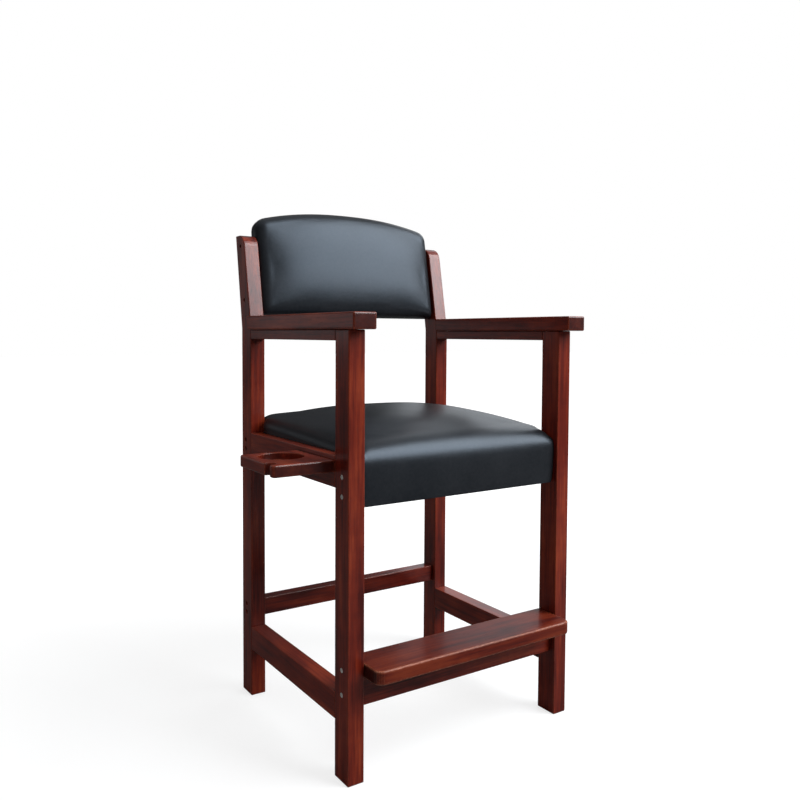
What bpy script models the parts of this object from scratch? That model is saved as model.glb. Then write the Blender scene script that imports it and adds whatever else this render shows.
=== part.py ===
"""Billiard spectator chair: a tall wooden armchair with a footrest, a drink shelf and a cue notch.

All sizes are in metres. X runs to the right as seen from the front, Y to the back, Z up.
Every piece is placed around the middle of the four legs. The parent empty then moves the
whole chair so that the middle of its bounding box on the floor is the origin.
"""
import math

import bmesh
import bpy
from mathutils import Vector

# Clearances and overruns
GAP = 0.0003
OVERRUN = 0.012

# Legs and posts
FRAME_WIDTH = 0.618
FRAME_DEPTH = 0.536
LEG_WIDTH = 0.0385
LEG_DEPTH = 0.055
BEND_HEIGHT = 0.934
POST_RISE = 0.2375
POST_FRONT_LEAN_SHARE = 0.1823
POST_BACK_LEAN_SHARE = 0.1596
POST_CORNER_RADIUS = 0.034
LEG_EDGE = 0.002

# Armrests
ARM_TOP_HEIGHT = 0.965
ARM_THICKNESS = 0.0345
ARM_FRONT_OVERHANG = 0.035
ARM_OUTER_OVERHANG = 0.0102
ARM_INNER_OVERHANG = 0.0054
ARM_EDGE = 0.004
ARM_RAIL_HEIGHT = 0.0225

# Side stretchers and side aprons
SIDE_STRETCHER_BOTTOM = 0.121
SIDE_STRETCHER_HEIGHT = 0.057
APRON_BOTTOM = 0.605
APRON_TOP = 0.672
RAIL_EDGE = 0.0015

# Seat rails
RAIL_THICKNESS = 0.022
FRONT_RAIL_BOTTOM = 0.5688
FRONT_RAIL_SETBACK = 0.017
REAR_RAIL_BOTTOM = 0.605
REAR_RAIL_SETBACK = 0.011

# Low cross members
REAR_STRETCHER_BOTTOM = 0.1976
REAR_STRETCHER_HEIGHT = 0.0438
REAR_STRETCHER_THICKNESS = 0.0325
REAR_STRETCHER_SETBACK = 0.0095
FRONT_STRETCHER_BOTTOM = 0.1525
FRONT_STRETCHER_THICKNESS = 0.022

# Footrest
FOOTREST_TOP = 0.2477
FOOTREST_THICKNESS = 0.0297
FOOTREST_OVERHANG = 0.0525
FOOTREST_CORNER_RADIUS = 0.02
FOOTREST_EDGE = 0.004

# Drink shelf
SHELF_TOP = 0.6625
SHELF_THICKNESS = 0.0253
SHELF_REACH = 0.1392
SHELF_LENGTH = 0.167
SHELF_CORNER_RADIUS = 0.006
SHELF_EDGE = 0.003
CUP_DIAMETER = 0.0994
CUP_DEPTH = 0.016
CUP_FROM_APRON = 0.0712
CUP_FROM_LEG = 0.104
NOTCH_WIDTH = 0.026
NOTCH_DEPTH = 0.019
NOTCH_FROM_LEG = 0.0277

# Corner blocks
BLOCK_LEG = 0.055
BLOCK_HEIGHT = 0.04

# Seat upholstery
COVER_THICKNESS = 0.0035
FOAM_INSET = 0.005
BOARD_THICKNESS = 0.009
BOARD_INSET = 0.012
FOAM_EDGE = 0.001
SEAT_SIDE_SWELL = 0.0143
SEAT_SWELL_RUN = 0.017
SEAT_REAR_INSET = 0.016
SEAT_FRONT_THICKNESS = 0.0247
SEAT_REAR_THICKNESS = 0.0467
SEAT_CROWN = 0.028
SEAT_FRONT_ROLL = 0.025
SEAT_SIDE_ROLL = 0.024
SEAT_REAR_ROLL = 0.022
COVER_LIP_THICKNESS = 0.002
COVER_LIP_LENGTH = 0.02
CROWN_SHARPNESS = 2.2

# Back upholstery
BACK_BASE_RISE = 0.031
BACK_ABOVE_POST = 0.0451
BACK_ARCH = 0.034
ARCH_SHARPNESS = 2.3
BACK_CORNER_RADIUS = 0.027
BACK_FROM_POST_BACK = 0.012
BACK_EDGE_DEPTH = 0.025
BACK_ROLL = 0.021
BACK_CROWN = 0.011
BACK_ROW_SHARES = (0.25, 0.5, 0.75)
ROLL_SHARE = 0.5
PANEL_THICKNESS = 0.014
LINING_THICKNESS = 0.0064

# Bolts and threaded inserts
BOLT_DIAMETER = 0.006
BOLT_HEAD_DIAMETER = 0.01
BOLT_HEAD_LENGTH = 0.006
BOLT_BODY_LENGTH = 0.05
SOCKET_WIDTH = 0.005
SOCKET_DEPTH = 0.003
BOLT_HOLE_DIAMETER = 0.0068
HEAD_HOLE_DIAMETER = 0.0122
FRONT_HEAD_HOLE_DEPTH = 0.0068
REAR_HEAD_HOLE_DEPTH = 0.011
INSERT_DIAMETER = 0.01
INSERT_LENGTH = 0.015
FRONT_RAIL_BOLT_HEIGHTS = (0.5906, 0.631)
FRONT_STRETCHER_BOLT_HEIGHT = 0.1814
REAR_RAIL_BOLT_HEIGHTS = (0.629, 0.652)
REAR_STRETCHER_BOLT_SPACING = 0.022

# Wood screws
SCREW_DIAMETER = 0.0045
SCREW_HEAD_DIAMETER = 0.0085
SCREW_HEAD_LENGTH = 0.003
SCREW_HOLE_DIAMETER = 0.0055
SCREW_HEAD_HOLE_DIAMETER = 0.0096
POST_SCREW_SHARES = (0.3032, 0.8821)
POST_SCREW_SINK = 0.009
POST_SCREW_BITE = 0.022
SHELF_SCREW_FROM_LEG = (0.02, 0.151)
SHELF_SCREW_SINK = 0.012
SHELF_SCREW_BITE = 0.026
SEAT_SCREW_SINK = 0.01
SEAT_SCREW_BITE = 0.008
ARM_SCREW_SPACING = 0.22
ARM_SCREW_SINK = 0.005
ARM_SCREW_BITE = 0.02

# Tenons of the side frames
TENON_THICKNESS = 0.012
TENON_LENGTH = 0.02
RAIL_TENON_SHOULDER = 0.008
ARM_RAIL_TENON_SHOULDER = 0.005
LEG_TENON_WIDTH = 0.018
LEG_TENON_DEPTH = 0.03
LEG_TENON_HEIGHT = 0.016
ARM_TENON_WIDTH = 0.024
ARM_TENON_LENGTH = 0.018

# Facets round a full circle
HEAD_SIDES = 16
BODY_SIDES = 8
CUP_SIDES = 56

# Steps of rounded corners and of the upholstery's surface
CORNER_STEPS = 6
POST_CORNER_STEPS = 8
NOTCH_STEPS = 12
EDGE_SEGMENTS = 2
ROLL_STEPS = 4
SEAT_COLUMNS = 5
SEAT_ROWS = 4
BACK_COLUMNS = 7

# Edges sharper than this, in degrees, are eased and shaded as edges
SHARP_ANGLE = 40

# Colours of the materials, as red, green and blue
WOOD_COLOUR = (0.105, 0.022, 0.014)
PLYWOOD_COLOUR = (0.45, 0.30, 0.16)
BEECH_COLOUR = (0.52, 0.36, 0.20)
VINYL_COLOUR = (0.012, 0.013, 0.015)
FOAM_COLOUR = (0.75, 0.70, 0.52)
STEEL_COLOUR = (0.62, 0.62, 0.60)
DARK_STEEL_COLOUR = (0.05, 0.05, 0.05)
OPAQUE = 1.0

# Roughness of the materials, from polished at 0 to matt at 1
WOOD_ROUGHNESS = 0.3
PLYWOOD_ROUGHNESS = 0.7
BEECH_ROUGHNESS = 0.6
VINYL_ROUGHNESS = 0.35
FOAM_ROUGHNESS = 0.95
STEEL_ROUGHNESS = 0.3
DARK_STEEL_ROUGHNESS = 0.4
METAL = 1.0

# Places worked out from the sizes above
HALF_WIDTH = FRAME_WIDTH / 2
HALF_DEPTH = FRAME_DEPTH / 2
INNER_X = HALF_WIDTH - LEG_WIDTH
LEG_X = HALF_WIDTH - LEG_WIDTH / 2
LEG_FACE_Y = HALF_DEPTH - LEG_DEPTH
FRONT_LEG_Y = LEG_DEPTH / 2 - HALF_DEPTH
ARM_BOTTOM = ARM_TOP_HEIGHT - ARM_THICKNESS
ARM_RAIL_TOP = ARM_BOTTOM - GAP
ARM_RAIL_BOTTOM = ARM_RAIL_TOP - ARM_RAIL_HEIGHT
CROSS_X = INNER_X - GAP
SIDE_Y = LEG_FACE_Y - GAP
FRONT_RAIL_Y = FRONT_RAIL_SETBACK - HALF_DEPTH
REAR_RAIL_Y = HALF_DEPTH - REAR_RAIL_SETBACK
REAR_STRETCHER_Y = HALF_DEPTH - REAR_STRETCHER_SETBACK - REAR_STRETCHER_THICKNESS / 2
REAR_STRETCHER_Z = REAR_STRETCHER_BOTTOM + REAR_STRETCHER_HEIGHT / 2
FOOTREST_BOTTOM = FOOTREST_TOP - FOOTREST_THICKNESS
FOOTREST_FRONT_Y = -HALF_DEPTH - FOOTREST_OVERHANG
SHELF_X = -HALF_WIDTH - GAP
SHELF_OUTER_X = -HALF_WIDTH - SHELF_REACH
SHELF_BOTTOM = SHELF_TOP - SHELF_THICKNESS
BOARD_BOTTOM = APRON_TOP + GAP
BOARD_TOP = BOARD_BOTTOM + BOARD_THICKNESS
SEAT_FRONT_HEIGHT = BOARD_BOTTOM + SEAT_FRONT_THICKNESS
SEAT_REAR_HEIGHT = BOARD_BOTTOM + SEAT_REAR_THICKNESS
SEAT_FRONT_Y = FRONT_RAIL_Y - GAP - COVER_THICKNESS
SEAT_REAR_Y = HALF_DEPTH - SEAT_REAR_INSET
SEAT_NARROW = INNER_X - GAP
SEAT_WIDE = SEAT_NARROW + SEAT_SIDE_SWELL
INNER_INSET = COVER_THICKNESS + GAP
POST_TOP_HEIGHT = BEND_HEIGHT + POST_RISE
POST_LEAN = (POST_FRONT_LEAN_SHARE + POST_BACK_LEAN_SHARE) / 2
BACK_TILT = math.atan(POST_LEAN)
BACK_BASE_HEIGHT = BEND_HEIGHT + BACK_BASE_RISE
BACK_HEIGHT = POST_RISE + BACK_ABOVE_POST
BACK_ORIGIN_Y = HALF_DEPTH + BACK_BASE_RISE * POST_LEAN - BACK_FROM_POST_BACK
BACK_HALF_WIDTH = INNER_X - GAP
PANEL_DEPTH = LINING_THICKNESS + GAP
FOAM_DEPTH = PANEL_DEPTH + PANEL_THICKNESS + GAP
CHAIR_LEFT_X = SHELF_OUTER_X
CHAIR_RIGHT_X = HALF_WIDTH + ARM_OUTER_OVERHANG
CHAIR_FRONT_Y = FOOTREST_FRONT_Y
CHAIR_BACK_Y = BACK_ORIGIN_Y + BACK_HEIGHT * math.sin(BACK_TILT)
POST_SCREW_HEIGHTS = [BEND_HEIGHT + POST_RISE * share for share in POST_SCREW_SHARES]

MATERIALS = {}
ROOT = None


def clear_scene():
    """Removes whatever the file holds."""
    for thing in list(bpy.data.objects):
        bpy.data.objects.remove(thing)


def material(name, colour, roughness, metallic=0.0):
    """Returns a Principled material, made once for each name."""
    if name not in MATERIALS:
        made = bpy.data.materials.new(name)
        made.use_nodes = True
        shader = made.node_tree.nodes["Principled BSDF"]
        shader.inputs["Base Color"].default_value = (*colour, OPAQUE)
        shader.inputs["Roughness"].default_value = roughness
        shader.inputs["Metallic"].default_value = metallic
        MATERIALS[name] = made
    return MATERIALS[name]


def wood():
    return material("mahogany", WOOD_COLOUR, WOOD_ROUGHNESS)


def plywood():
    return material("plywood", PLYWOOD_COLOUR, PLYWOOD_ROUGHNESS)


def beech():
    return material("beech", BEECH_COLOUR, BEECH_ROUGHNESS)


def vinyl():
    return material("black_vinyl", VINYL_COLOUR, VINYL_ROUGHNESS)


def foam():
    return material("foam", FOAM_COLOUR, FOAM_ROUGHNESS)


def steel():
    return material("steel", STEEL_COLOUR, STEEL_ROUGHNESS, METAL)


def dark_steel():
    return material("dark_steel", DARK_STEEL_COLOUR, DARK_STEEL_ROUGHNESS, METAL)


def new_object(name, bm, finish=None):
    """Turns a bmesh into an object under the chair's parent empty."""
    bmesh.ops.recalc_face_normals(bm, faces=bm.faces)
    mesh = bpy.data.meshes.new(name)
    bm.to_mesh(mesh)
    bm.free()
    made = bpy.data.objects.new(name, mesh)
    bpy.context.scene.collection.objects.link(made)
    made.parent = ROOT
    if finish:
        mesh.materials.append(finish)
    return made


def add_prism(bm, outline, axis, start, end):
    """Adds a prism: the outline's two coordinates lie in the plane across the axis, in X, Y, Z order."""
    def point(pair, along):
        values = list(pair)
        values.insert("XYZ".index(axis), along)
        return Vector(values)
    lower = [bm.verts.new(point(pair, start)) for pair in outline]
    upper = [bm.verts.new(point(pair, end)) for pair in outline]
    for i in range(len(outline)):
        j = (i + 1) % len(outline)
        bm.faces.new((lower[i], lower[j], upper[j], upper[i]))
    bm.faces.new(lower)
    bm.faces.new(upper)


def polygon_ring(bm, axis, outline, along):
    """Vertices of an outline that lies across an axis, at a place along it."""
    ring = []
    for pair in outline:
        values = list(pair)
        values.insert("XYZ".index(axis), along)
        ring.append(bm.verts.new(values))
    return ring


def bridge(bm, first, second):
    """Faces between two loops; a loop with twice the corners meets each corner of the other twice."""
    if len(first) < len(second):
        first, second = second, first
    count = len(first)
    factor = count // len(second)
    for i in range(count):
        j = (i + 1) % count
        near = second[i // factor]
        far = second[j // factor]
        if near is far:
            bm.faces.new((first[i], first[j], near))
        else:
            bm.faces.new((first[i], first[j], far, near))


def add_rings(bm, axis, rings):
    """Adds a closed shape through outlines at places along an axis, with flat ends."""
    loops = [polygon_ring(bm, axis, outline, along) for outline, along in rings]
    bm.faces.new(loops[0])
    bm.faces.new(loops[-1])
    for first, second in zip(loops, loops[1:]):
        bridge(bm, first, second)


def rectangle(low, high):
    return [(low[0], low[1]), (high[0], low[1]), (high[0], high[1]), (low[0], high[1])]


def circle(centre, radius, sides):
    """Corners of a regular polygon whose flats touch the given radius."""
    reach = radius / math.cos(math.pi / sides)
    turns = [2 * math.pi * (i + 0.5) / sides for i in range(sides)]
    return [(centre[0] + reach * math.cos(a), centre[1] + reach * math.sin(a)) for a in turns]


def round_body(centre, diameter, sides):
    """Corners of a regular polygon that lie on the given diameter, for a pin inside a hole."""
    return circle(centre, diameter / 2 * math.cos(math.pi / sides), sides)


def add_box(bm, x_span, y_span, z_span):
    add_prism(bm, rectangle((x_span[0], y_span[0]), (x_span[1], y_span[1])), "Z", *z_span)


def ease(made, width, segments=EDGE_SEGMENTS):
    """Rounds every sharp edge of a board by the given width."""
    bevel = made.modifiers.new("eased_edges", "BEVEL")
    bevel.width = width
    bevel.segments = segments
    bevel.limit_method = "ANGLE"
    bevel.angle_limit = math.radians(SHARP_ANGLE)


def combine(made, helper, label, operation):
    """Applies a hidden helper object to an object."""
    helper.hide_render = True
    helper.display_type = "WIRE"
    boolean = made.modifiers.new(label, "BOOLEAN")
    boolean.operation = operation
    boolean.solver = "EXACT"
    boolean.object = helper


def cut(made, bm, label):
    """Cuts the shapes in bm away from an object."""
    combine(made, new_object(f"{made.name}_{label}", bm), label, "DIFFERENCE")


def join(made, bm, label):
    """Joins the shapes in bm to an object as one body."""
    combine(made, new_object(f"{made.name}_{label}", bm), label, "UNION")


def board(name, x_span, y_span, z_span, edge=RAIL_EDGE, finish=None):
    """A plain board with eased edges."""
    bm = bmesh.new()
    add_box(bm, sorted(x_span), y_span, z_span)
    made = new_object(name, bm, finish or wood())
    ease(made, edge)
    return made


def smooth(made):
    made.data.shade_smooth()
    made.data.set_sharp_from_angle(angle=math.radians(SHARP_ANGLE))


def fillet(before, corner, after, radius, steps):
    """Points of an arc that rounds a corner between two straight stretches."""
    corner = Vector(corner)
    to_before = (Vector(before) - corner).normalized()
    to_after = (Vector(after) - corner).normalized()
    half = to_before.angle(to_after) / 2
    centre = corner + (to_before + to_after).normalized() * radius / math.sin(half)
    first = corner + to_before * radius / math.tan(half) - centre
    last = corner + to_after * radius / math.tan(half) - centre
    sweep = first.angle_signed(last)
    points = []
    for i in range(steps + 1):
        turn = -sweep * i / steps
        x = first.x * math.cos(turn) - first.y * math.sin(turn)
        y = first.x * math.sin(turn) + first.y * math.cos(turn)
        points.append((centre.x + x, centre.y + y))
    return points


def rounded_rectangle(low, high, radii, steps=CORNER_STEPS):
    """Outline with its own radius at each corner, counted from the low corner and turning left."""
    corners = rectangle(low, high)
    points = []
    for i, radius in enumerate(radii):
        if radius:
            points += fillet(corners[i - 1], corners[i], corners[(i + 1) % len(corners)], radius, steps)
        else:
            points.append(corners[i])
    return points


def side_name(side):
    return "left" if side < 0 else "right"


def post_front_y(z):
    """Front face of a rear leg and its post at a height."""
    return LEG_FACE_Y + POST_FRONT_LEAN_SHARE * max(0.0, z - BEND_HEIGHT)


def post_back_y(z):
    """Back face of a rear leg and its post at a height."""
    return HALF_DEPTH + POST_BACK_LEAN_SHARE * max(0.0, z - BEND_HEIGHT)


# Places of the fasteners, shared by the pieces that hold them


def bolt_places():
    """Every cross bolt on one side: label, Y, Z and the depth of its head hole."""
    front_rail_y = FRONT_RAIL_Y + RAIL_THICKNESS / 2
    rear_rail_y = REAR_RAIL_Y - RAIL_THICKNESS / 2
    footrest_z = FOOTREST_BOTTOM + FOOTREST_THICKNESS / 2
    half = REAR_STRETCHER_BOLT_SPACING / 2
    places = [("front_rail", front_rail_y, z, FRONT_HEAD_HOLE_DEPTH) for z in FRONT_RAIL_BOLT_HEIGHTS]
    places.append(("footrest", FRONT_LEG_Y, footrest_z, FRONT_HEAD_HOLE_DEPTH))
    places.append(("front_stretcher", FRONT_LEG_Y, FRONT_STRETCHER_BOLT_HEIGHT, FRONT_HEAD_HOLE_DEPTH))
    places += [("rear_rail", rear_rail_y, z, REAR_HEAD_HOLE_DEPTH) for z in REAR_RAIL_BOLT_HEIGHTS]
    for z in (REAR_STRETCHER_Z - half, REAR_STRETCHER_Z + half):
        places.append(("rear_stretcher", REAR_STRETCHER_Y, z, REAR_HEAD_HOLE_DEPTH))
    return places


def bolts_of(*labels):
    return [place for place in bolt_places() if place[0] in labels]


def side_tenons():
    """Lowest and highest point of each tenon that joins one side's rails to its legs."""
    low_rail = (SIDE_STRETCHER_BOTTOM, SIDE_STRETCHER_BOTTOM + SIDE_STRETCHER_HEIGHT, RAIL_TENON_SHOULDER)
    apron = (APRON_BOTTOM, APRON_TOP, RAIL_TENON_SHOULDER)
    arm = (ARM_RAIL_BOTTOM, ARM_RAIL_TOP, ARM_RAIL_TENON_SHOULDER)
    return [(low + shoulder, high - shoulder) for low, high, shoulder in (low_rail, apron, arm)]


def arm_tenon():
    """Lowest and highest point of the tenon at an armrest's rear end."""
    middle = ARM_BOTTOM + ARM_THICKNESS / 2
    return middle - TENON_THICKNESS / 2, middle + TENON_THICKNESS / 2


def arm_end_y(z):
    """Rear end of an armrest at a height, just clear of the post."""
    return post_front_y(z) - GAP


def arm_screw_places():
    return (-ARM_SCREW_SPACING / 2, ARM_SCREW_SPACING / 2)


def block_screw_place(front, side):
    """X and Y of the screw that passes a corner block."""
    inset = BLOCK_LEG / 3
    rail_face = FRONT_RAIL_Y + RAIL_THICKNESS if front else REAR_RAIL_Y - RAIL_THICKNESS
    toward = 1 if front else -1
    return side * (CROSS_X - inset), rail_face + toward * (GAP + inset)


def shelf_screw_places():
    return [offset - LEG_FACE_Y for offset in SHELF_SCREW_FROM_LEG]


# Holes, added to a cutter's mesh


def add_hole(bm, axis, centre, diameter, span, sides=BODY_SIDES):
    add_prism(bm, circle(centre, diameter / 2, sides), axis, *sorted(span))


def add_stepped_hole(bm, axis, centre, diameters, places, sides=BODY_SIDES):
    """A hole that widens for a head. places are its narrow end, its step and its wide end."""
    narrow = circle(centre, diameters[0] / 2, BODY_SIDES)
    wide = circle(centre, diameters[1] / 2, sides)
    start, step, end = places
    add_rings(bm, axis, [(narrow, start), (narrow, step), (wide, step), (wide, end)])


def add_screw_hole(bm, axis, centre, places, sides=BODY_SIDES):
    add_stepped_hole(bm, axis, centre, (SCREW_HOLE_DIAMETER, SCREW_HEAD_HOLE_DIAMETER), places, sides)


def add_bolt_holes(bm, side, places):
    """Through holes with head holes in a leg's outer face."""
    inner = side * (INNER_X - OVERRUN)
    outer = side * (HALF_WIDTH + OVERRUN)
    for label, y, z, depth in places:
        span = (inner, side * (HALF_WIDTH - depth), outer)
        add_stepped_hole(bm, "X", (y, z), (BOLT_HOLE_DIAMETER, HEAD_HOLE_DIAMETER), span, HEAD_SIDES)


def bolt_end(depth):
    """How far from the chair's middle a bolt's point lies."""
    return HALF_WIDTH - depth + GAP - BOLT_BODY_LENGTH


def add_insert_holes(bm, places):
    """Blind holes in both ends of a cross member, for the bolts and their inserts."""
    for label, y, z, depth in places:
        end = min(bolt_end(depth), CROSS_X - GAP - INSERT_LENGTH) - GAP
        for side in (-1, 1):
            add_hole(bm, "X", (y, z), INSERT_DIAMETER + 2 * GAP, (side * end, side * (CROSS_X + OVERRUN)))


def add_side_mortises(bm, side, leg_end):
    """Mortises in a leg's inner face for the rails of its side. leg_end is -1 at the front."""
    half = TENON_THICKNESS / 2 + GAP
    near = leg_end * (LEG_FACE_Y - OVERRUN)
    far = leg_end * (SIDE_Y + TENON_LENGTH + GAP)
    x_span = (side * LEG_X - half, side * LEG_X + half)
    for low, high in side_tenons():
        add_box(bm, x_span, sorted((near, far)), (low - GAP, high + GAP))


# Wooden frame


def front_leg(side):
    name = f"front_leg_{side_name(side)}"
    x_span = (side * INNER_X, side * HALF_WIDTH)
    made = board(name, x_span, (-HALF_DEPTH, -LEG_FACE_Y), (0, ARM_BOTTOM - GAP), LEG_EDGE)
    bm = bmesh.new()
    add_leg_tenon(bm, side, 0.0, ARM_BOTTOM - OVERRUN)
    join(made, bm, "tenon")
    bm = bmesh.new()
    add_bolt_holes(bm, side, bolts_of("front_rail", "footrest", "front_stretcher"))
    cut(made, bm, "bolt_holes")
    bm = bmesh.new()
    add_side_mortises(bm, side, -1)
    cut(made, bm, "mortises")


def add_leg_tenon(bm, side, clearance, bottom):
    """Tenon on a front leg's top, or with a clearance the mortise for it."""
    half_x = LEG_TENON_WIDTH / 2 + clearance
    half_y = LEG_TENON_DEPTH / 2 + clearance
    x_span = (side * LEG_X - half_x, side * LEG_X + half_x)
    y_span = (FRONT_LEG_Y - half_y, FRONT_LEG_Y + half_y)
    add_box(bm, x_span, y_span, (bottom, ARM_BOTTOM + LEG_TENON_HEIGHT + clearance))


def add_arm_tenon(bm, side, clearance, near):
    """Tenon at an armrest's rear end, or with a clearance the mortise for it."""
    low, high = arm_tenon()
    half_x = ARM_TENON_WIDTH / 2 + clearance
    x_span = (side * LEG_X - half_x, side * LEG_X + half_x)
    far = arm_end_y(ARM_TOP_HEIGHT) + ARM_TENON_LENGTH + clearance
    add_box(bm, x_span, (near, far), (low - clearance, high + clearance))


def rear_leg_outline():
    """Rear leg and back post seen from the side, as Y and Z."""
    front_top = (post_front_y(POST_TOP_HEIGHT), POST_TOP_HEIGHT)
    back_top = (post_back_y(POST_TOP_HEIGHT), POST_TOP_HEIGHT)
    front_bend = (LEG_FACE_Y, BEND_HEIGHT)
    outline = [(LEG_FACE_Y, 0), (HALF_DEPTH, 0), (HALF_DEPTH, BEND_HEIGHT), back_top]
    outline += fillet(back_top, front_top, front_bend, POST_CORNER_RADIUS, POST_CORNER_STEPS)
    outline.append(front_bend)
    return outline


def post_screw_y(z):
    return (post_front_y(z) + post_back_y(z)) / 2


def rear_leg(side):
    name = f"rear_leg_{side_name(side)}"
    bm = bmesh.new()
    add_prism(bm, rear_leg_outline(), "X", *sorted((side * INNER_X, side * HALF_WIDTH)))
    made = new_object(name, bm, wood())
    ease(made, LEG_EDGE)
    bm = bmesh.new()
    add_bolt_holes(bm, side, bolts_of("rear_rail", "rear_stretcher"))
    cut(made, bm, "bolt_holes")
    bm = bmesh.new()
    add_side_mortises(bm, side, 1)
    add_arm_tenon(bm, side, GAP, LEG_FACE_Y - OVERRUN)
    cut(made, bm, "mortises")
    bm = bmesh.new()
    seat = HALF_WIDTH - POST_SCREW_SINK
    places = (side * (INNER_X - OVERRUN), side * seat, side * (HALF_WIDTH + OVERRUN))
    for z in POST_SCREW_HEIGHTS:
        add_screw_hole(bm, "X", (post_screw_y(z), z), places, HEAD_SIDES)
    cut(made, bm, "screw_holes")


def side_rail(name, side, bottom, top, shoulder):
    """A board between the legs of one side, flush with their faces, with a tenon at each end."""
    x_span = (side * INNER_X, side * HALF_WIDTH)
    made = board(name, x_span, (-SIDE_Y, SIDE_Y), (bottom, top))
    half = TENON_THICKNESS / 2
    x_span = (side * LEG_X - half, side * LEG_X + half)
    bm = bmesh.new()
    for end in (-1, 1):
        y_span = sorted((end * (SIDE_Y - OVERRUN), end * (SIDE_Y + TENON_LENGTH)))
        add_box(bm, x_span, y_span, (bottom + shoulder, top - shoulder))
    join(made, bm, "tenons")
    return made


def side_stretcher(side):
    top = SIDE_STRETCHER_BOTTOM + SIDE_STRETCHER_HEIGHT
    side_rail(f"side_stretcher_{side_name(side)}", side, SIDE_STRETCHER_BOTTOM, top, RAIL_TENON_SHOULDER)


def side_apron(side):
    name = f"side_apron_{side_name(side)}"
    made = side_rail(name, side, APRON_BOTTOM, APRON_TOP, RAIL_TENON_SHOULDER)
    if side < 0:
        bm = bmesh.new()
        z = SHELF_BOTTOM + SHELF_THICKNESS / 2
        seat = INNER_X + SHELF_SCREW_SINK
        places = (side * (HALF_WIDTH + OVERRUN), side * seat, side * (INNER_X - OVERRUN))
        for y in shelf_screw_places():
            add_screw_hole(bm, "X", (y, z), places)
        cut(made, bm, "screw_holes")


def arm_rail(side):
    name = f"arm_rail_{side_name(side)}"
    made = side_rail(name, side, ARM_RAIL_BOTTOM, ARM_RAIL_TOP, ARM_RAIL_TENON_SHOULDER)
    bm = bmesh.new()
    places = (ARM_RAIL_TOP + OVERRUN, ARM_RAIL_BOTTOM + ARM_SCREW_SINK, ARM_RAIL_BOTTOM - OVERRUN)
    for y in arm_screw_places():
        add_screw_hole(bm, "Z", (side * LEG_X, y), places)
    cut(made, bm, "screw_holes")


def armrest(side):
    """Board over the front leg and the arm rail, cut to the post's lean at its rear end."""
    name = f"armrest_{side_name(side)}"
    front = -HALF_DEPTH - ARM_FRONT_OVERHANG
    outline = [(front, ARM_BOTTOM), (arm_end_y(ARM_BOTTOM), ARM_BOTTOM)]
    if ARM_BOTTOM < BEND_HEIGHT < ARM_TOP_HEIGHT:
        outline.append((arm_end_y(BEND_HEIGHT), BEND_HEIGHT))
    outline += [(arm_end_y(ARM_TOP_HEIGHT), ARM_TOP_HEIGHT), (front, ARM_TOP_HEIGHT)]
    inner = side * (INNER_X - ARM_INNER_OVERHANG)
    outer = side * (HALF_WIDTH + ARM_OUTER_OVERHANG)
    bm = bmesh.new()
    add_prism(bm, outline, "X", *sorted((inner, outer)))
    made = new_object(name, bm, wood())
    ease(made, ARM_EDGE, 3)
    bm = bmesh.new()
    for y in arm_screw_places():
        span = (ARM_BOTTOM - OVERRUN, ARM_BOTTOM + ARM_SCREW_BITE + GAP)
        add_hole(bm, "Z", (side * LEG_X, y), SCREW_HOLE_DIAMETER, span)
    add_leg_tenon(bm, side, GAP, ARM_BOTTOM - OVERRUN)
    cut(made, bm, "holes")
    bm = bmesh.new()
    add_arm_tenon(bm, side, 0.0, arm_end_y(ARM_BOTTOM) - OVERRUN)
    join(made, bm, "tenon")


def cross_member(name, y_span, z_span, label, edge=RAIL_EDGE):
    """A board from leg to leg with the holes of its threaded inserts."""
    made = board(name, (-CROSS_X, CROSS_X), y_span, z_span, edge)
    bm = bmesh.new()
    add_insert_holes(bm, bolts_of(label))
    cut(made, bm, "insert_holes")


def cross_members():
    rail_y = (FRONT_RAIL_Y, FRONT_RAIL_Y + RAIL_THICKNESS)
    cross_member("seat_front_rail", rail_y, (FRONT_RAIL_BOTTOM, APRON_TOP), "front_rail")
    rail_y = (REAR_RAIL_Y - RAIL_THICKNESS, REAR_RAIL_Y)
    cross_member("seat_rear_rail", rail_y, (REAR_RAIL_BOTTOM, APRON_TOP), "rear_rail")
    half = FRONT_STRETCHER_THICKNESS / 2
    z_span = (FRONT_STRETCHER_BOTTOM, FOOTREST_BOTTOM - GAP)
    cross_member("front_stretcher", (FRONT_LEG_Y - half, FRONT_LEG_Y + half), z_span, "front_stretcher")
    half = REAR_STRETCHER_THICKNESS / 2
    z_span = (REAR_STRETCHER_BOTTOM, REAR_STRETCHER_BOTTOM + REAR_STRETCHER_HEIGHT)
    y_span = (REAR_STRETCHER_Y - half, REAR_STRETCHER_Y + half)
    cross_member("rear_stretcher", y_span, z_span, "rear_stretcher")


def footrest():
    """Board between the front legs that reaches forward, with rounded front corners."""
    radii = (FOOTREST_CORNER_RADIUS, FOOTREST_CORNER_RADIUS, 0, 0)
    outline = rounded_rectangle((-CROSS_X, FOOTREST_FRONT_Y), (CROSS_X, -LEG_FACE_Y), radii)
    bm = bmesh.new()
    add_prism(bm, outline, "Z", FOOTREST_BOTTOM, FOOTREST_TOP)
    made = new_object("footrest", bm, wood())
    ease(made, FOOTREST_EDGE, 3)
    bm = bmesh.new()
    add_insert_holes(bm, bolts_of("footrest"))
    cut(made, bm, "insert_holes")


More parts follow.
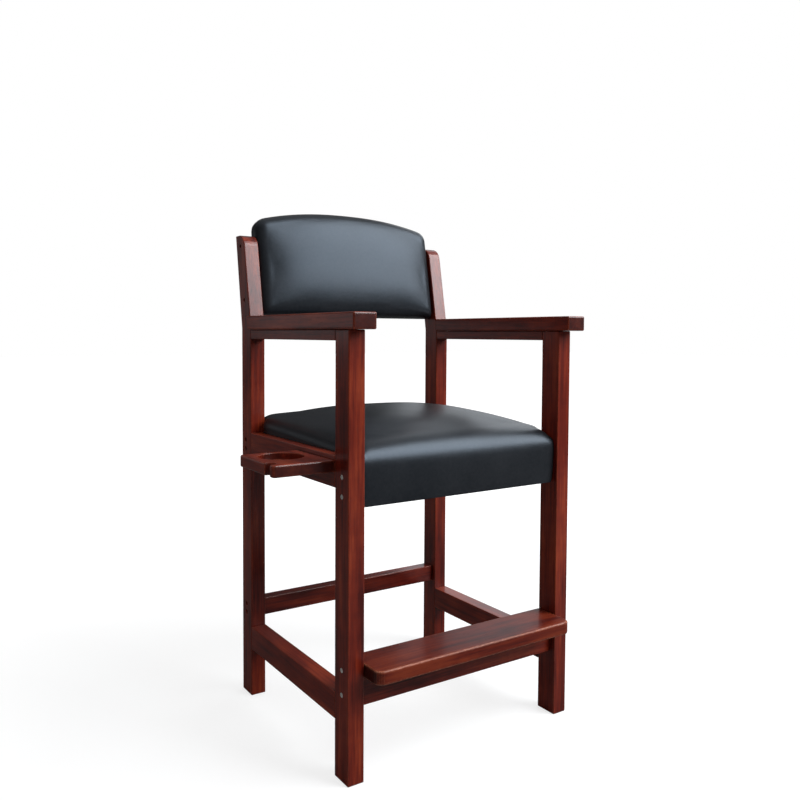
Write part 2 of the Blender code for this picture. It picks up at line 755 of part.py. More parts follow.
def corner_blocks():
    """Triangular blocks glued into the four corners of the seat frame."""
    for front in (True, False):
        for side in (-1, 1):
            rail_face = FRONT_RAIL_Y + RAIL_THICKNESS if front else REAR_RAIL_Y - RAIL_THICKNESS
            toward = 1 if front else -1
            corner = (side * CROSS_X, rail_face + toward * GAP)
            outline = [corner, (corner[0] - side * BLOCK_LEG, corner[1])]
            outline.append((corner[0], corner[1] + toward * BLOCK_LEG))
            name = f"corner_block_{'front' if front else 'rear'}_{side_name(side)}"
            bm = bmesh.new()
            add_prism(bm, outline, "Z", APRON_TOP - BLOCK_HEIGHT, APRON_TOP)
            made = new_object(name, bm, beech())
            bm = bmesh.new()
            base = APRON_TOP - BLOCK_HEIGHT
            places = (APRON_TOP + OVERRUN, base + SEAT_SCREW_SINK, base - OVERRUN)
            add_screw_hole(bm, "Z", block_screw_place(front, side), places)
            cut(made, bm, "screw_hole")


def drink_shelf():
    """Board on the left apron, with a round cup recess and a notch for the cue in its outer edge."""
    corner = SHELF_CORNER_RADIUS
    low = (SHELF_OUTER_X, -LEG_FACE_Y)
    high = (SHELF_X, SHELF_LENGTH - LEG_FACE_Y)
    bm = bmesh.new()
    outline = rounded_rectangle(low, high, (corner, 0, 0, corner), 3)
    add_prism(bm, outline, "Z", SHELF_BOTTOM, SHELF_TOP)
    made = new_object("drink_shelf", bm, wood())
    ease(made, SHELF_EDGE)
    bm = bmesh.new()
    centre = (SHELF_X - CUP_FROM_APRON, CUP_FROM_LEG - LEG_FACE_Y)
    span = (SHELF_TOP - CUP_DEPTH, SHELF_TOP + OVERRUN)
    add_hole(bm, "Z", centre, CUP_DIAMETER, span, CUP_SIDES)
    cut(made, bm, "cup_recess")
    bm = bmesh.new()
    add_prism(bm, notch_outline(), "Z", SHELF_BOTTOM - OVERRUN, SHELF_TOP + OVERRUN)
    cut(made, bm, "cue_notch")
    bm = bmesh.new()
    z = SHELF_BOTTOM + SHELF_THICKNESS / 2
    for y in shelf_screw_places():
        span = (SHELF_X - SHELF_SCREW_BITE, SHELF_X + OVERRUN)
        add_hole(bm, "X", (y, z), SCREW_HOLE_DIAMETER, span)
    cut(made, bm, "screw_holes")


def notch_outline():
    """The cue notch from above: straight sides that end in a half circle."""
    half = NOTCH_WIDTH / 2
    centre_x = SHELF_OUTER_X + NOTCH_DEPTH - half
    centre_y = NOTCH_FROM_LEG - LEG_FACE_Y
    outline = [(SHELF_OUTER_X - OVERRUN, centre_y - half)]
    for i in range(NOTCH_STEPS + 1):
        turn = math.pi * (i / NOTCH_STEPS - 1 / 2)
        outline.append((centre_x + half * math.cos(turn), centre_y + half * math.sin(turn)))
    outline.append((SHELF_OUTER_X - OVERRUN, centre_y + half))
    return outline


# Upholstery


def roll_drop(distance, radius):
    """How far a surface has dropped near its edge, where a quarter circle rounds it."""
    if distance >= radius:
        return 0.0
    return radius - math.sqrt(radius ** 2 - (radius - max(distance, 0.0)) ** 2)


def roll_stations(radius, steps=ROLL_STEPS):
    """Distances from an edge that space points evenly along its quarter circle."""
    return [radius * (1 - math.cos(math.pi / 2 * i / steps)) for i in range(steps + 1)]


def spread(start, end, count):
    """Evenly spaced values strictly between two ends."""
    return [start + (end - start) * i / (count + 1) for i in range(1, count + 1)]


def seat_half_width(y, inset):
    """Half the seat's width: narrow between the legs, swelling over the aprons."""
    reach = LEG_FACE_Y - GAP - abs(y)
    share = min(1.0, max(0.0, reach / SEAT_SWELL_RUN))
    swell = SEAT_SIDE_SWELL * (1 - math.cos(math.pi * share)) / 2
    return SEAT_NARROW + swell - inset


def seat_height(x, y, inset):
    """Height of the seat's crowned top, with its rounded edges."""
    low = SEAT_FRONT_Y + inset
    high = SEAT_REAR_Y - inset
    along = (y - low) / (high - low)
    plane = SEAT_FRONT_HEIGHT + (SEAT_REAR_HEIGHT - SEAT_FRONT_HEIGHT) * along - inset
    half = seat_half_width(y, inset)
    across_share = min(1.0, abs(x) / half)
    along_share = min(1.0, abs(2 * along - 1))
    crown = SEAT_CROWN * (1 - across_share ** CROWN_SHARPNESS) * (1 - along_share ** CROWN_SHARPNESS)
    side = roll_drop(half - abs(x), SEAT_SIDE_ROLL - inset)
    front = roll_drop(y - low, SEAT_FRONT_ROLL - inset)
    rear = roll_drop(high - y, SEAT_REAR_ROLL - inset)
    return plane + crown - math.hypot(side, max(front, rear))


def grid_solid(name, columns, rows, top, bottom, finish):
    """Closed solid between two height fields over the same grid of points.

    top and bottom take a column's share and a row, and return a point.
    """
    bm = bmesh.new()
    upper = [[bm.verts.new(top(c, r)) for c in columns] for r in rows]
    lower = [[bm.verts.new(bottom(c, r)) for c in columns] for r in rows]
    last_row = len(rows) - 1
    last_column = len(columns) - 1
    for i in range(last_row):
        for j in range(last_column):
            bm.faces.new((upper[i][j], upper[i][j + 1], upper[i + 1][j + 1], upper[i + 1][j]))
            bm.faces.new((lower[i][j], lower[i + 1][j], lower[i + 1][j + 1], lower[i][j + 1]))
    rim = [(0, j) for j in range(last_column)]
    rim += [(i, last_column) for i in range(last_row)]
    rim += [(last_row, j) for j in range(last_column, 0, -1)]
    rim += [(i, 0) for i in range(last_row, 0, -1)]
    for k, (i, j) in enumerate(rim):
        m, n = rim[(k + 1) % len(rim)]
        bm.faces.new((lower[i][j], lower[m][n], upper[m][n], upper[i][j]))
    made = new_object(name, bm, finish)
    smooth(made)
    return made


def seat_columns(inset):
    """Places across the seat as shares of its half width, closer together on the rolled sides."""
    edge = [(SEAT_WIDE - d) / SEAT_WIDE for d in roll_stations(SEAT_SIDE_ROLL - inset)]
    inner = spread(-edge[-1], edge[-1], SEAT_COLUMNS)
    return [-share for share in edge] + inner + edge[::-1]


def seat_rows(inset):
    """Places along the seat, from front to rear, closer together where it rolls or swells."""
    front = [SEAT_FRONT_Y + inset + d for d in roll_stations(SEAT_FRONT_ROLL - inset)]
    rear = [SEAT_REAR_Y - inset - d for d in roll_stations(SEAT_REAR_ROLL - inset)]
    start = LEG_FACE_Y - GAP
    swell = [start, start - SEAT_SWELL_RUN / 2, start - SEAT_SWELL_RUN]
    middle = spread(-swell[-1], swell[-1], SEAT_ROWS)
    return sorted(front + [-y for y in swell] + middle + swell + rear)


def seat_form(name, inset, floor, finish=None):
    """The seat's upholstered shape, drawn in by the inset, down to a flat floor."""
    def top(share, y):
        x = share * seat_half_width(y, inset)
        return Vector((x, y, max(seat_height(x, y, inset), floor + FOAM_EDGE)))

    def bottom(share, y):
        return Vector((share * seat_half_width(y, inset), y, floor))
    return grid_solid(name, seat_columns(inset), seat_rows(inset), top, bottom, finish)


def seat_cover():
    """Vinyl over thin wadding: a shell over the board and foam, drawn down over the front rail."""
    lip_bottom = FRONT_RAIL_BOTTOM - GAP - COVER_LIP_THICKNESS
    made = seat_form("seat_cover", 0.0, lip_bottom, vinyl())
    inner = seat_form("seat_cover_inside", COVER_THICKNESS, APRON_BOTTOM)
    combine(made, inner, "inside", "DIFFERENCE")
    inner_y = SEAT_FRONT_Y + COVER_THICKNESS
    lip_y = SEAT_FRONT_Y + COVER_LIP_LENGTH
    far_y = SEAT_REAR_Y + OVERRUN
    low_z = lip_bottom - OVERRUN
    outline = [(inner_y, lip_bottom + COVER_LIP_THICKNESS), (lip_y, lip_bottom + COVER_LIP_THICKNESS)]
    outline += [(lip_y, low_z), (far_y, low_z), (far_y, BOARD_BOTTOM), (inner_y, BOARD_BOTTOM)]
    bm = bmesh.new()
    reach = SEAT_WIDE + OVERRUN
    add_prism(bm, outline, "X", -reach, reach)
    cut(made, bm, "under_seat")


def add_seat_board(bm, clearance, bottom):
    """The seat board's shape, notched round the legs, or with a clearance the space that it needs."""
    narrow = SEAT_NARROW - BOARD_INSET + clearance
    wide = SEAT_WIDE - BOARD_INSET + clearance
    step = LEG_FACE_Y - GAP - SEAT_SWELL_RUN - BOARD_INSET + clearance
    front = SEAT_FRONT_Y + BOARD_INSET - clearance
    rear = SEAT_REAR_Y - BOARD_INSET + clearance
    right = [(narrow, front), (narrow, -step), (wide, -step), (wide, step), (narrow, step), (narrow, rear)]
    left = [(-x, y) for x, y in reversed(right)]
    add_prism(bm, right + left, "Z", bottom, BOARD_TOP + clearance)


def seat_board():
    """Plywood on the rails and aprons."""
    bm = bmesh.new()
    add_seat_board(bm, 0.0, BOARD_BOTTOM)
    made = new_object("seat_board", bm, plywood())
    bm = bmesh.new()
    for front_side in (True, False):
        for side in (-1, 1):
            span = (BOARD_BOTTOM - OVERRUN, BOARD_BOTTOM + SEAT_SCREW_BITE + GAP)
            add_hole(bm, "Z", block_screw_place(front_side, side), SCREW_HOLE_DIAMETER, span)
    cut(made, bm, "screw_holes")


def seat_foam():
    """Foam that covers the board and reaches down past its edges to the rails."""
    made = seat_form("seat_foam", FOAM_INSET, BOARD_BOTTOM, foam())
    bm = bmesh.new()
    add_seat_board(bm, GAP, BOARD_BOTTOM - OVERRUN)
    cut(made, bm, "board_space")


def back_arch(x):
    """Height of the back's arched top edge above its bottom edge, before its corners are rounded."""
    return BACK_HEIGHT - BACK_ARCH * (abs(x) / BACK_HALF_WIDTH) ** ARCH_SHARPNESS


def back_top_edge(x, inset):
    """Top edge with its rounded corners, drawn in by the inset."""
    distance = BACK_HALF_WIDTH - inset - abs(x)
    return back_arch(x) - inset - roll_drop(distance, BACK_CORNER_RADIUS - inset)


def back_front_depth(x, up, inset):
    """Depth of the padded front from the back's rear plane, crowned and rolled at its edges."""
    half = BACK_HALF_WIDTH - inset
    top = back_top_edge(x, inset)
    across_share = min(1.0, abs(x) / half)
    up_share = min(1.0, abs(2 * (up - inset) / (top - inset) - 1))
    crown = BACK_CROWN * (1 - across_share ** CROWN_SHARPNESS) * (1 - up_share ** CROWN_SHARPNESS)
    radius = BACK_ROLL - inset
    side = roll_drop(half - abs(x), radius)
    end = roll_drop(min(up - inset, top - up), radius)
    drop = min(math.hypot(side, end), BACK_ROLL - inset / 2)
    return BACK_EDGE_DEPTH + BACK_ROLL - inset + crown - drop


def back_point(x, up, depth):
    """Chair coordinates of a point on the leaning back: across, up the lean, and forward of its rear."""
    y = BACK_ORIGIN_Y + up * math.sin(BACK_TILT) - depth * math.cos(BACK_TILT)
    z = BACK_BASE_HEIGHT + up * math.cos(BACK_TILT) + depth * math.sin(BACK_TILT)
    return Vector((x, y, z))


def back_columns(inset):
    """Places across the back, closer together on its rolled sides."""
    half = BACK_HALF_WIDTH - inset
    edge = [half - d for d in roll_stations(BACK_CORNER_RADIUS - inset)]
    inner = spread(-edge[-1], edge[-1], BACK_COLUMNS)
    return [-x for x in edge] + inner + edge[::-1]


def back_form(name, inset, rear, front=None, finish=None):
    """A layer of the back: its outline drawn in by the inset, from one depth to another.

    With no front depth the layer ends in the padded, crowned front.
    """
    roll = roll_stations(ROLL_SHARE)

    def up_at(x, share):
        top = back_top_edge(x, inset)
        radius = BACK_ROLL - inset
        if share[0] == "low":
            return inset + 2 * radius * share[1]
        if share[0] == "high":
            return top - 2 * radius * share[1]
        return inset + radius + (top - inset - 2 * radius) * share[1]

    rows = [("low", s) for s in roll]
    if front is None:
        rows += [("middle", s) for s in BACK_ROW_SHARES]
        rows += [("high", s) for s in reversed(roll)]
    else:
        rows = [("low", 0.0), ("high", 0.0)]

    def top(x, share):
        up = up_at(x, share)
        depth = back_front_depth(x, up, inset) if front is None else front
        return back_point(x, up, depth)

    def bottom(x, share):
        return back_point(x, up_at(x, share), rear)
    return grid_solid(name, back_columns(inset), rows, top, bottom, finish)


def post_screw_holes(made, bite):
    """Holes for the post screws in the sides of a piece of the back."""
    bm = bmesh.new()
    for z in POST_SCREW_HEIGHTS:
        for side in (-1, 1):
            span = (side * (BACK_HALF_WIDTH - INNER_INSET - bite), side * (BACK_HALF_WIDTH + OVERRUN))
            add_hole(bm, "X", (post_screw_y(z), z), SCREW_HOLE_DIAMETER, span)
    cut(made, bm, "screw_holes")


def back_cover():
    """Vinyl shell round the front and edges of the back, open at the rear."""
    made = back_form("back_cover", 0.0, 0.0, finish=vinyl())
    inner = back_form("back_cover_inside", COVER_THICKNESS, -OVERRUN)
    combine(made, inner, "inside", "DIFFERENCE")
    post_screw_holes(made, 0.0)


def back_panel():
    made = back_form("back_panel", INNER_INSET, PANEL_DEPTH, PANEL_DEPTH + PANEL_THICKNESS, plywood())
    post_screw_holes(made, POST_SCREW_BITE)


def back_foam():
    back_form("back_foam", FOAM_INSET, FOAM_DEPTH, finish=foam())


def back_lining():
    """Padded vinyl that closes the rear of the back."""
    back_form("back_lining", INNER_INSET, 0.0, LINING_THICKNESS, vinyl())


# Fasteners


def turned_body(name, axis, rings, finish):
    """Joins polygons along an axis into one closed body, as an object of its own."""
    bm = bmesh.new()
    add_rings(bm, axis, rings)
    smooth(new_object(name, bm, finish))


def bolt(name, side, y, z, depth, finish):
    """Socket-head bolt along X with its threaded insert, its head on the floor of its hole."""
    seat = HALF_WIDTH - depth + GAP
    head_end = seat + BOLT_HEAD_LENGTH
    insert_end = CROSS_X - GAP
    body = round_body((y, z), BOLT_DIAMETER, BODY_SIDES)
    sleeve = round_body((y, z), INSERT_DIAMETER, BODY_SIDES)
    head = round_body((y, z), BOLT_HEAD_DIAMETER, HEAD_SIDES)
    socket = round_body((y, z), SOCKET_WIDTH, BODY_SIDES)
    rings = [(body, bolt_end(depth)), (body, insert_end - INSERT_LENGTH), (sleeve, insert_end - INSERT_LENGTH)]
    rings += [(sleeve, insert_end), (body, insert_end), (body, seat), (head, seat), (head, head_end)]
    rings += [(socket, head_end), (socket, head_end - SOCKET_DEPTH)]
    turned_body(name, "X", [(outline, side * x) for outline, x in rings], finish)


def bolts():
    for side in (-1, 1):
        for i, (label, y, z, depth) in enumerate(bolt_places()):
            finish = dark_steel() if label.startswith("rear") else steel()
            bolt(f"bolt_{label}_{side_name(side)}_{i + 1}", side, y, z, depth, finish)


def screw(name, axis, centre, seat, toward, length):
    """Wood screw: a head and a body that ends in a point. toward is the way that its point goes."""
    head = round_body(centre, SCREW_HEAD_DIAMETER, BODY_SIDES)
    body = round_body(centre, SCREW_DIAMETER, BODY_SIDES)
    tip = round_body(centre, SCREW_DIAMETER / 3, BODY_SIDES)
    end = seat + toward * length
    rings = [(head, seat - toward * SCREW_HEAD_LENGTH), (head, seat), (body, seat)]
    rings += [(body, end - toward * SCREW_DIAMETER), (tip, end)]
    turned_body(name, axis, rings, dark_steel())


def back_screws():
    seat = HALF_WIDTH - POST_SCREW_SINK + GAP
    length = seat - (BACK_HALF_WIDTH - INNER_INSET - POST_SCREW_BITE) - GAP
    for side in (-1, 1):
        for i, z in enumerate(POST_SCREW_HEIGHTS):
            name = f"back_screw_{side_name(side)}_{i + 1}"
            screw(name, "X", (post_screw_y(z), z), side * seat, -side, length)


def shelf_screws():
    seat = INNER_X + SHELF_SCREW_SINK - GAP
    length = HALF_WIDTH + SHELF_SCREW_BITE - seat
    for i, y in enumerate(shelf_screw_places()):
        centre = (y, SHELF_BOTTOM + SHELF_THICKNESS / 2)
        screw(f"shelf_screw_{i + 1}", "X", centre, -seat, -1, length)


def seat_screws():
    seat = APRON_TOP - BLOCK_HEIGHT + SEAT_SCREW_SINK - GAP
    length = BOARD_BOTTOM + SEAT_SCREW_BITE - seat
    for front in (True, False):
        for side in (-1, 1):
            name = f"seat_screw_{'front' if front else 'rear'}_{side_name(side)}"
            screw(name, "Z", block_screw_place(front, side), seat, 1, length)


def arm_screws():
    seat = ARM_RAIL_BOTTOM + ARM_SCREW_SINK - GAP
    length = ARM_BOTTOM + ARM_SCREW_BITE - seat
    for side in (-1, 1):
        for i, y in enumerate(arm_screw_places()):
            screw(f"arm_screw_{side_name(side)}_{i + 1}", "Z", (side * LEG_X, y), seat, 1, length)


def build():
    global ROOT
    clear_scene()
    ROOT = bpy.data.objects.new("chair", None)
    bpy.context.scene.collection.objects.link(ROOT)
    ROOT.location = (-(CHAIR_LEFT_X + CHAIR_RIGHT_X) / 2, -(CHAIR_FRONT_Y + CHAIR_BACK_Y) / 2, 0)
    for side in (-1, 1):
        front_leg(side)
        rear_leg(side)
        side_stretcher(side)
        side_apron(side)
        arm_rail(side)
        armrest(side)
    cross_members()
    footrest()
    corner_blocks()
    drink_shelf()
    seat_board()
    seat_foam()
    seat_cover()
    back_panel()
    back_foam()
    back_cover()
    back_lining()
    bolts()
    back_screws()
    shelf_screws()
    seat_screws()
    arm_screws()


build()
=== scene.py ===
"""Looks of the billiard spectator chair: camera, light, materials, two cushions and the back's lining.

Lengths are in metres. The soft pieces are worked out around the middle of the four legs,
with X to the right as seen from the front, Y to the back and Z up, and are then moved there.
"""
import math

import bpy
import numpy as np
from mathutils import Matrix, Vector


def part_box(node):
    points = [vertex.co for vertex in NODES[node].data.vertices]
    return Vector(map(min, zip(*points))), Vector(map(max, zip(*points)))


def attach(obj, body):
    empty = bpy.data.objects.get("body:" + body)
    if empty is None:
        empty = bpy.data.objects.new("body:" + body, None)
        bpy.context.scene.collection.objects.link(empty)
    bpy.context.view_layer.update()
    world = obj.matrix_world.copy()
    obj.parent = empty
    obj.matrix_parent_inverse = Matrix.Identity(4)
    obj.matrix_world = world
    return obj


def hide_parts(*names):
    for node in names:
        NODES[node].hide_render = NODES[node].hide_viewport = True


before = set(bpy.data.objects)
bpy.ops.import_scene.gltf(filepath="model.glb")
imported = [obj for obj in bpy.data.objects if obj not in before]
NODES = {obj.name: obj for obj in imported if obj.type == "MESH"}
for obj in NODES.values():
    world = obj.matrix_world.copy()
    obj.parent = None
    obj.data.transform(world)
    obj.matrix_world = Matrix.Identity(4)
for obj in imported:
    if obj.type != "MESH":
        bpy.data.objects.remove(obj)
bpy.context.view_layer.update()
scene = bpy.context.scene
X, Y, Z = range(3)
LOW, HIGH = range(2)

# Camera: angles in degrees, sensor and lens in millimetres, shifts in shares of the picture
CAMERA_PLACE = (-1.03648, -1.59849, 0.92082)
CAMERA_YAW, CAMERA_PITCH, CAMERA_ROLL = 32.506, 2.5175, 0.219
SENSOR_WIDTH, LENS = 36.0, 35.2806
SHIFT_X, SHIFT_Y = 0.03231, -0.03916

# Lamps: place, point that they face, size, power in watts and colour
SEAT_MIDDLE = (0.05, 0.0, 0.75)
LAMPS = {
    "key": ((2.2, -2.35, 3.15), SEAT_MIDDLE, (2.7, 3.0), 250.0, (0.94, 0.97, 1.0)),
    "rear": ((2.82, 2.48, 1.58), SEAT_MIDDLE, (1.8, 0.9), 6.8, (0.90, 0.95, 1.0)),
    "right": ((2.8, 1.0, 2.75), SEAT_MIDDLE, (2.6, 1.3), 24.0, (0.90, 0.95, 1.0)),
    "side_card": ((-2.4, 2.9, 1.35), (0.05, 0.0, 0.95), (1.8, 1.0), 2.6, (0.95, 0.97, 1.0)),
}

# Sky: its strength at the horizon and high up, as light and as seen in a mirroring surface
SKY_LEVELS, SKY_RISE_SHARES = (0.03, 0.70), (0.0, 0.8)
MIRRORED_LEVELS, MIRRORED_RISE_SHARES = (0.04, 0.45), (0.3, 1.0)

# Floor: its grey as light and in a mirroring surface, and how its glow to the camera grows outwards
FLOOR_REACH = 30.0
FLOOR_SHADE, MIRRORED_FLOOR_SHADE = 0.28, 0.10
GLOW_DISTANCES, GLOW_LEVELS = (0.7, 2.6), (0.74, 1.0)

# Wood: direction of the grain by the start of a node's name, and the radius of softened edges
GRAIN = {
    "front_leg": Z, "rear_leg": Z,
    "armrest": Y, "arm_rail": Y, "side_stretcher": Y, "side_apron": Y, "drink_shelf": Y,
    "seat_front_rail": X, "seat_rear_rail": X, "front_stretcher": X, "rear_stretcher": X, "footrest": X,
}
BOARDS = ("footrest", "armrest", "drink_shelf")
BOARD_ROUND, LEG_ROUND = 0.0042, 0.0018
STAIN = (
    (0.40, (0.048, 0.0030, 0.0018)),
    (0.46, (0.098, 0.0078, 0.0032)),
    (0.52, (0.150, 0.0140, 0.0048)),
    (0.60, (0.240, 0.0330, 0.0095)),
)
PORE_COLOUR, END_GRAIN_COLOUR = (0.028, 0.004, 0.003), (0.020, 0.0030, 0.0022)
# Wood finishes: the pale colour at the edges is wear and also a painted highlight line along them; on the
# footrest it is paler, mostly a painted highlight, and the footrest's wood is darkened to two thirds
LACQUERED = {"gloss": 0.35, "depth": 1.0, "edge_wear_and_highlight": (0.33, 0.070, 0.028)}
SCUFFED_AND_HIGHLIT = {"gloss": 0.20, "depth": 0.66, "edge_wear_and_highlight": (0.80, 0.34, 0.20)}

# Edges: cosines between the true and the softened normal where the edge mark starts and where it is full;
# on the wood this mark is wear and also a painted highlight line
EDGE_SAMPLES, EDGE_MARK_STARTS, EDGE_MARK_FULL = 6, 0.9985, 0.94


class Tree:
    """Short calls for making the nodes of a material or a world."""

    def __init__(self, owner):
        owner.use_nodes = True
        self.owner = owner
        self.tree = owner.node_tree
        self.shader = self.tree.nodes.get("Principled BSDF")

    def put(self, value, socket):
        if hasattr(value, "links"):
            self.tree.links.new(value, socket)
        elif value is not None:
            socket.default_value = value

    def coords(self, scale=(1, 1, 1), offset=(0, 0, 0)):
        source = self.tree.nodes.new("ShaderNodeTexCoord")
        node = self.tree.nodes.new("ShaderNodeMapping")
        node.inputs["Scale"].default_value = scale
        node.inputs["Location"].default_value = offset
        self.tree.links.new(source.outputs["Object"], node.inputs["Vector"])
        return node.outputs["Vector"]

    def noise(self, vector, scale, detail, roughness, distortion=0.0):
        """Cloudy noise of 0 to 1, with its scale in clouds per metre."""
        node = self.tree.nodes.new("ShaderNodeTexNoise")
        self.put(vector, node.inputs["Vector"])
        node.inputs["Scale"].default_value = scale
        node.inputs["Detail"].default_value = detail
        node.inputs["Roughness"].default_value = roughness
        node.inputs["Distortion"].default_value = distortion
        return node.outputs["Fac"]

    def cells(self, vector, scale, feature="F1"):
        """Distance to the middle or the edge of small cells, with their scale in cells per metre."""
        node = self.tree.nodes.new("ShaderNodeTexVoronoi")
        node.feature = feature
        self.put(vector, node.inputs["Vector"])
        node.inputs["Scale"].default_value = scale
        return node.outputs["Distance"]

    def light_path(self):
        """Whether a ray comes from the camera, and whether from a mirroring or clear surface."""
        path = self.tree.nodes.new("ShaderNodeLightPath")
        mirrored = self.math("MAXIMUM", path.outputs["Is Glossy Ray"], path.outputs["Is Transmission Ray"])
        return path.outputs["Is Camera Ray"], mirrored

    def math(self, operation, a, b=None, c=None):
        node = self.tree.nodes.new("ShaderNodeMath")
        node.operation = operation
        for value, socket in zip((a, b, c), node.inputs):
            self.put(value, socket)
        return node.outputs[0]

    def ranged(self, value, start, end, at_start=0.0, at_end=1.0):
        """A value brought smoothly from one range into another, and held at its ends."""
        node = self.tree.nodes.new("ShaderNodeMapRange")
        node.interpolation_type = "SMOOTHSTEP"
        for given, socket in zip((value, start, end, at_start, at_end), node.inputs):
            self.put(given, socket)
        return node.outputs[0]

    def ramp(self, value, stops):
        node = self.tree.nodes.new("ShaderNodeValToRGB")
        elements = node.color_ramp.elements
        while len(elements) < len(stops):
            elements.new(0.5)
        for element, (place, colour) in zip(elements, stops):
            element.position = place
            element.color = (*colour, 1.0)
        self.put(value, node.inputs["Fac"])
        return node.outputs["Color"]

    def mix(self, share, a, b):
        node = self.tree.nodes.new("ShaderNodeMix")
        node.data_type = "RGBA"
        self.put(share, node.inputs["Factor"])
        for value, socket in ((a, node.inputs[6]), (b, node.inputs[7])):
            self.put((*value, 1.0) if isinstance(value, tuple) else value, socket)
        return node.outputs[2]

    def edges(self, radius):
        """Share of 0 to 1 that marks the edges, for wear and on the wood also a painted highlight line, and
        the softened normal there.
        """
        bevel = self.tree.nodes.new("ShaderNodeBevel")
        bevel.samples = EDGE_SAMPLES
        bevel.inputs["Radius"].default_value = radius
        true = self.tree.nodes.new("ShaderNodeNewGeometry")
        dot = self.tree.nodes.new("ShaderNodeVectorMath")
        dot.operation = "DOT_PRODUCT"
        self.tree.links.new(bevel.outputs["Normal"], dot.inputs[0])
        self.tree.links.new(true.outputs["Normal"], dot.inputs[1])
        return self.ranged(dot.outputs["Value"], EDGE_MARK_STARTS, EDGE_MARK_FULL), bevel.outputs["Normal"]

    def facing(self, axis):
        """How squarely a face looks along an axis, which is 1 for end grain."""
        true = self.tree.nodes.new("ShaderNodeNewGeometry")
        split = self.tree.nodes.new("ShaderNodeSeparateXYZ")
        self.put(true.outputs["True Normal"], split.inputs[0])
        return self.math("ABSOLUTE", split.outputs[axis])

    def bump(self, height, strength, distance, normal=None):
        node = self.tree.nodes.new("ShaderNodeBump")
        node.inputs["Strength"].default_value = strength
        node.inputs["Distance"].default_value = distance
        self.put(height, node.inputs["Height"])
        self.put(normal, node.inputs["Normal"])
        return node.outputs["Normal"]

    def finish(self, **sockets):
        """Fills the shader's sockets, whose names have underscores for spaces here."""
        for name, value in sockets.items():
            colour = isinstance(value, tuple) and len(value) == 3
            self.put((*value, 1.0) if colour else value, self.shader.inputs[name.replace("_", " ")])
        return self.owner


def along(axis, across, lengthwise):
    scale = [across] * 3
    scale[axis] = lengthwise
    return tuple(scale)


def mahogany(name, axis, seed, roundness, gloss, depth, edge_wear_and_highlight):
    """Stained and lacquered hardwood with its grain along one axis."""
    t = Tree(bpy.data.materials.new(name))
    shift = (seed * 1.37 % 5.1, seed * 2.11 % 4.3, seed * 0.73 % 6.7)
    broad = t.noise(t.coords(along(axis, 1.0, 0.12), shift), 34.0, 4.0, 0.55, 0.25)
    fine = t.noise(t.coords(along(axis, 1.0, 0.03), shift), 240.0, 4.0, 0.7)
    pores = t.noise(t.coords(along(axis, 1.0, 0.045), shift), 620.0, 2.0, 0.6)
    blotch = t.noise(t.coords(along(axis, 1.0, 0.5), shift), 9.0, 3.0, 0.55)
    ripple = t.noise(t.coords(along(axis, 0.25, 1.0), shift), 42.0, 3.0, 0.55)
    tone = t.math("MULTIPLY", ripple, 0.06)
    for layer, weight in ((broad, 0.36), (fine, 0.34), (blotch, 0.24)):
        tone = t.math("MULTIPLY_ADD", layer, weight, tone)
    colour = t.ramp(tone, [(place, tuple(c * depth for c in stain)) for place, stain in STAIN])
    pits = t.ranged(pores, 0.62, 0.74)
    colour = t.mix(t.math("MULTIPLY", pits, 0.5), colour, PORE_COLOUR)
    sawn = t.ranged(t.facing(axis), 0.80, 0.96)
    colour = t.mix(t.math("MULTIPLY", sawn, 0.75), colour, END_GRAIN_COLOUR)
    # Lighter edges: wear, and also a painted highlight line along the rounded edges
    edge_mask, soft = t.edges(roundness)
    patches = t.noise(t.coords(offset=shift), 75.0, 3.0, 0.6)
    patchy_edge_wear_and_highlight = t.math("MULTIPLY", edge_mask, t.ranged(patches, 0.30, 0.62, 0.25, 0.75))
    rough = t.math("MULTIPLY_ADD", blotch, 0.12, 0.60 - gloss)
    height = t.math("MULTIPLY_ADD", pits, -0.6, t.math("MULTIPLY", fine, 0.5))
    return t.finish(
        Base_Color=t.mix(patchy_edge_wear_and_highlight, colour, edge_wear_and_highlight),
        Roughness=t.math("MULTIPLY_ADD", pits, 0.12, rough),
        Normal=t.bump(height, 0.16, 0.0004, soft),
        Coat_Weight=gloss * 0.7,
        Coat_Roughness=0.14,
        Specular_IOR_Level=gloss,
    )


def vinyl(name, seed):
    """Smooth black vinyl with a fine leather grain."""
    t = Tree(bpy.data.materials.new(name))
    place = t.coords(offset=(seed * 1.9, seed * 0.7, seed * 1.3))
    cells = t.cells(place, 900.0)
    creases = t.cells(place, 430.0, "DISTANCE_TO_EDGE")
    cloud = t.noise(place, 9.0, 4.0, 0.55)
    fine = t.noise(place, 260.0, 3.0, 0.6)
    mottle = t.noise(place, 130.0, 3.0, 0.65)
    tone = t.math("MULTIPLY_ADD", mottle, 0.5, t.math("MULTIPLY", cloud, 0.5))
    colour = t.ramp(tone, ((0.36, (0.0095, 0.0105, 0.0125)), (0.64, (0.0185, 0.0190, 0.0215))))
    # Painted shade: the creases of the grain are darkened
    colour = t.mix(t.ranged(creases, 0.0, 0.12, 0.5, 0.0), colour, (0.004, 0.0045, 0.005))
    rough = t.math("MULTIPLY_ADD", cloud, 0.10, 0.27)
    ridges = t.ranged(creases, 0.0, 0.16)
    height = t.math("MULTIPLY_ADD", ridges, 0.7, t.math("MULTIPLY", cells, 0.35))
    return t.finish(
        Base_Color=colour,
        Roughness=t.math("MULTIPLY_ADD", fine, 0.06, rough),
        Normal=t.bump(height, 0.17, 0.0003),
        Specular_IOR_Level=0.38,
        # The bluish tint of the reflections stands in for bluish sky light
        Specular_Tint=(0.68, 0.83, 1.0),
    )


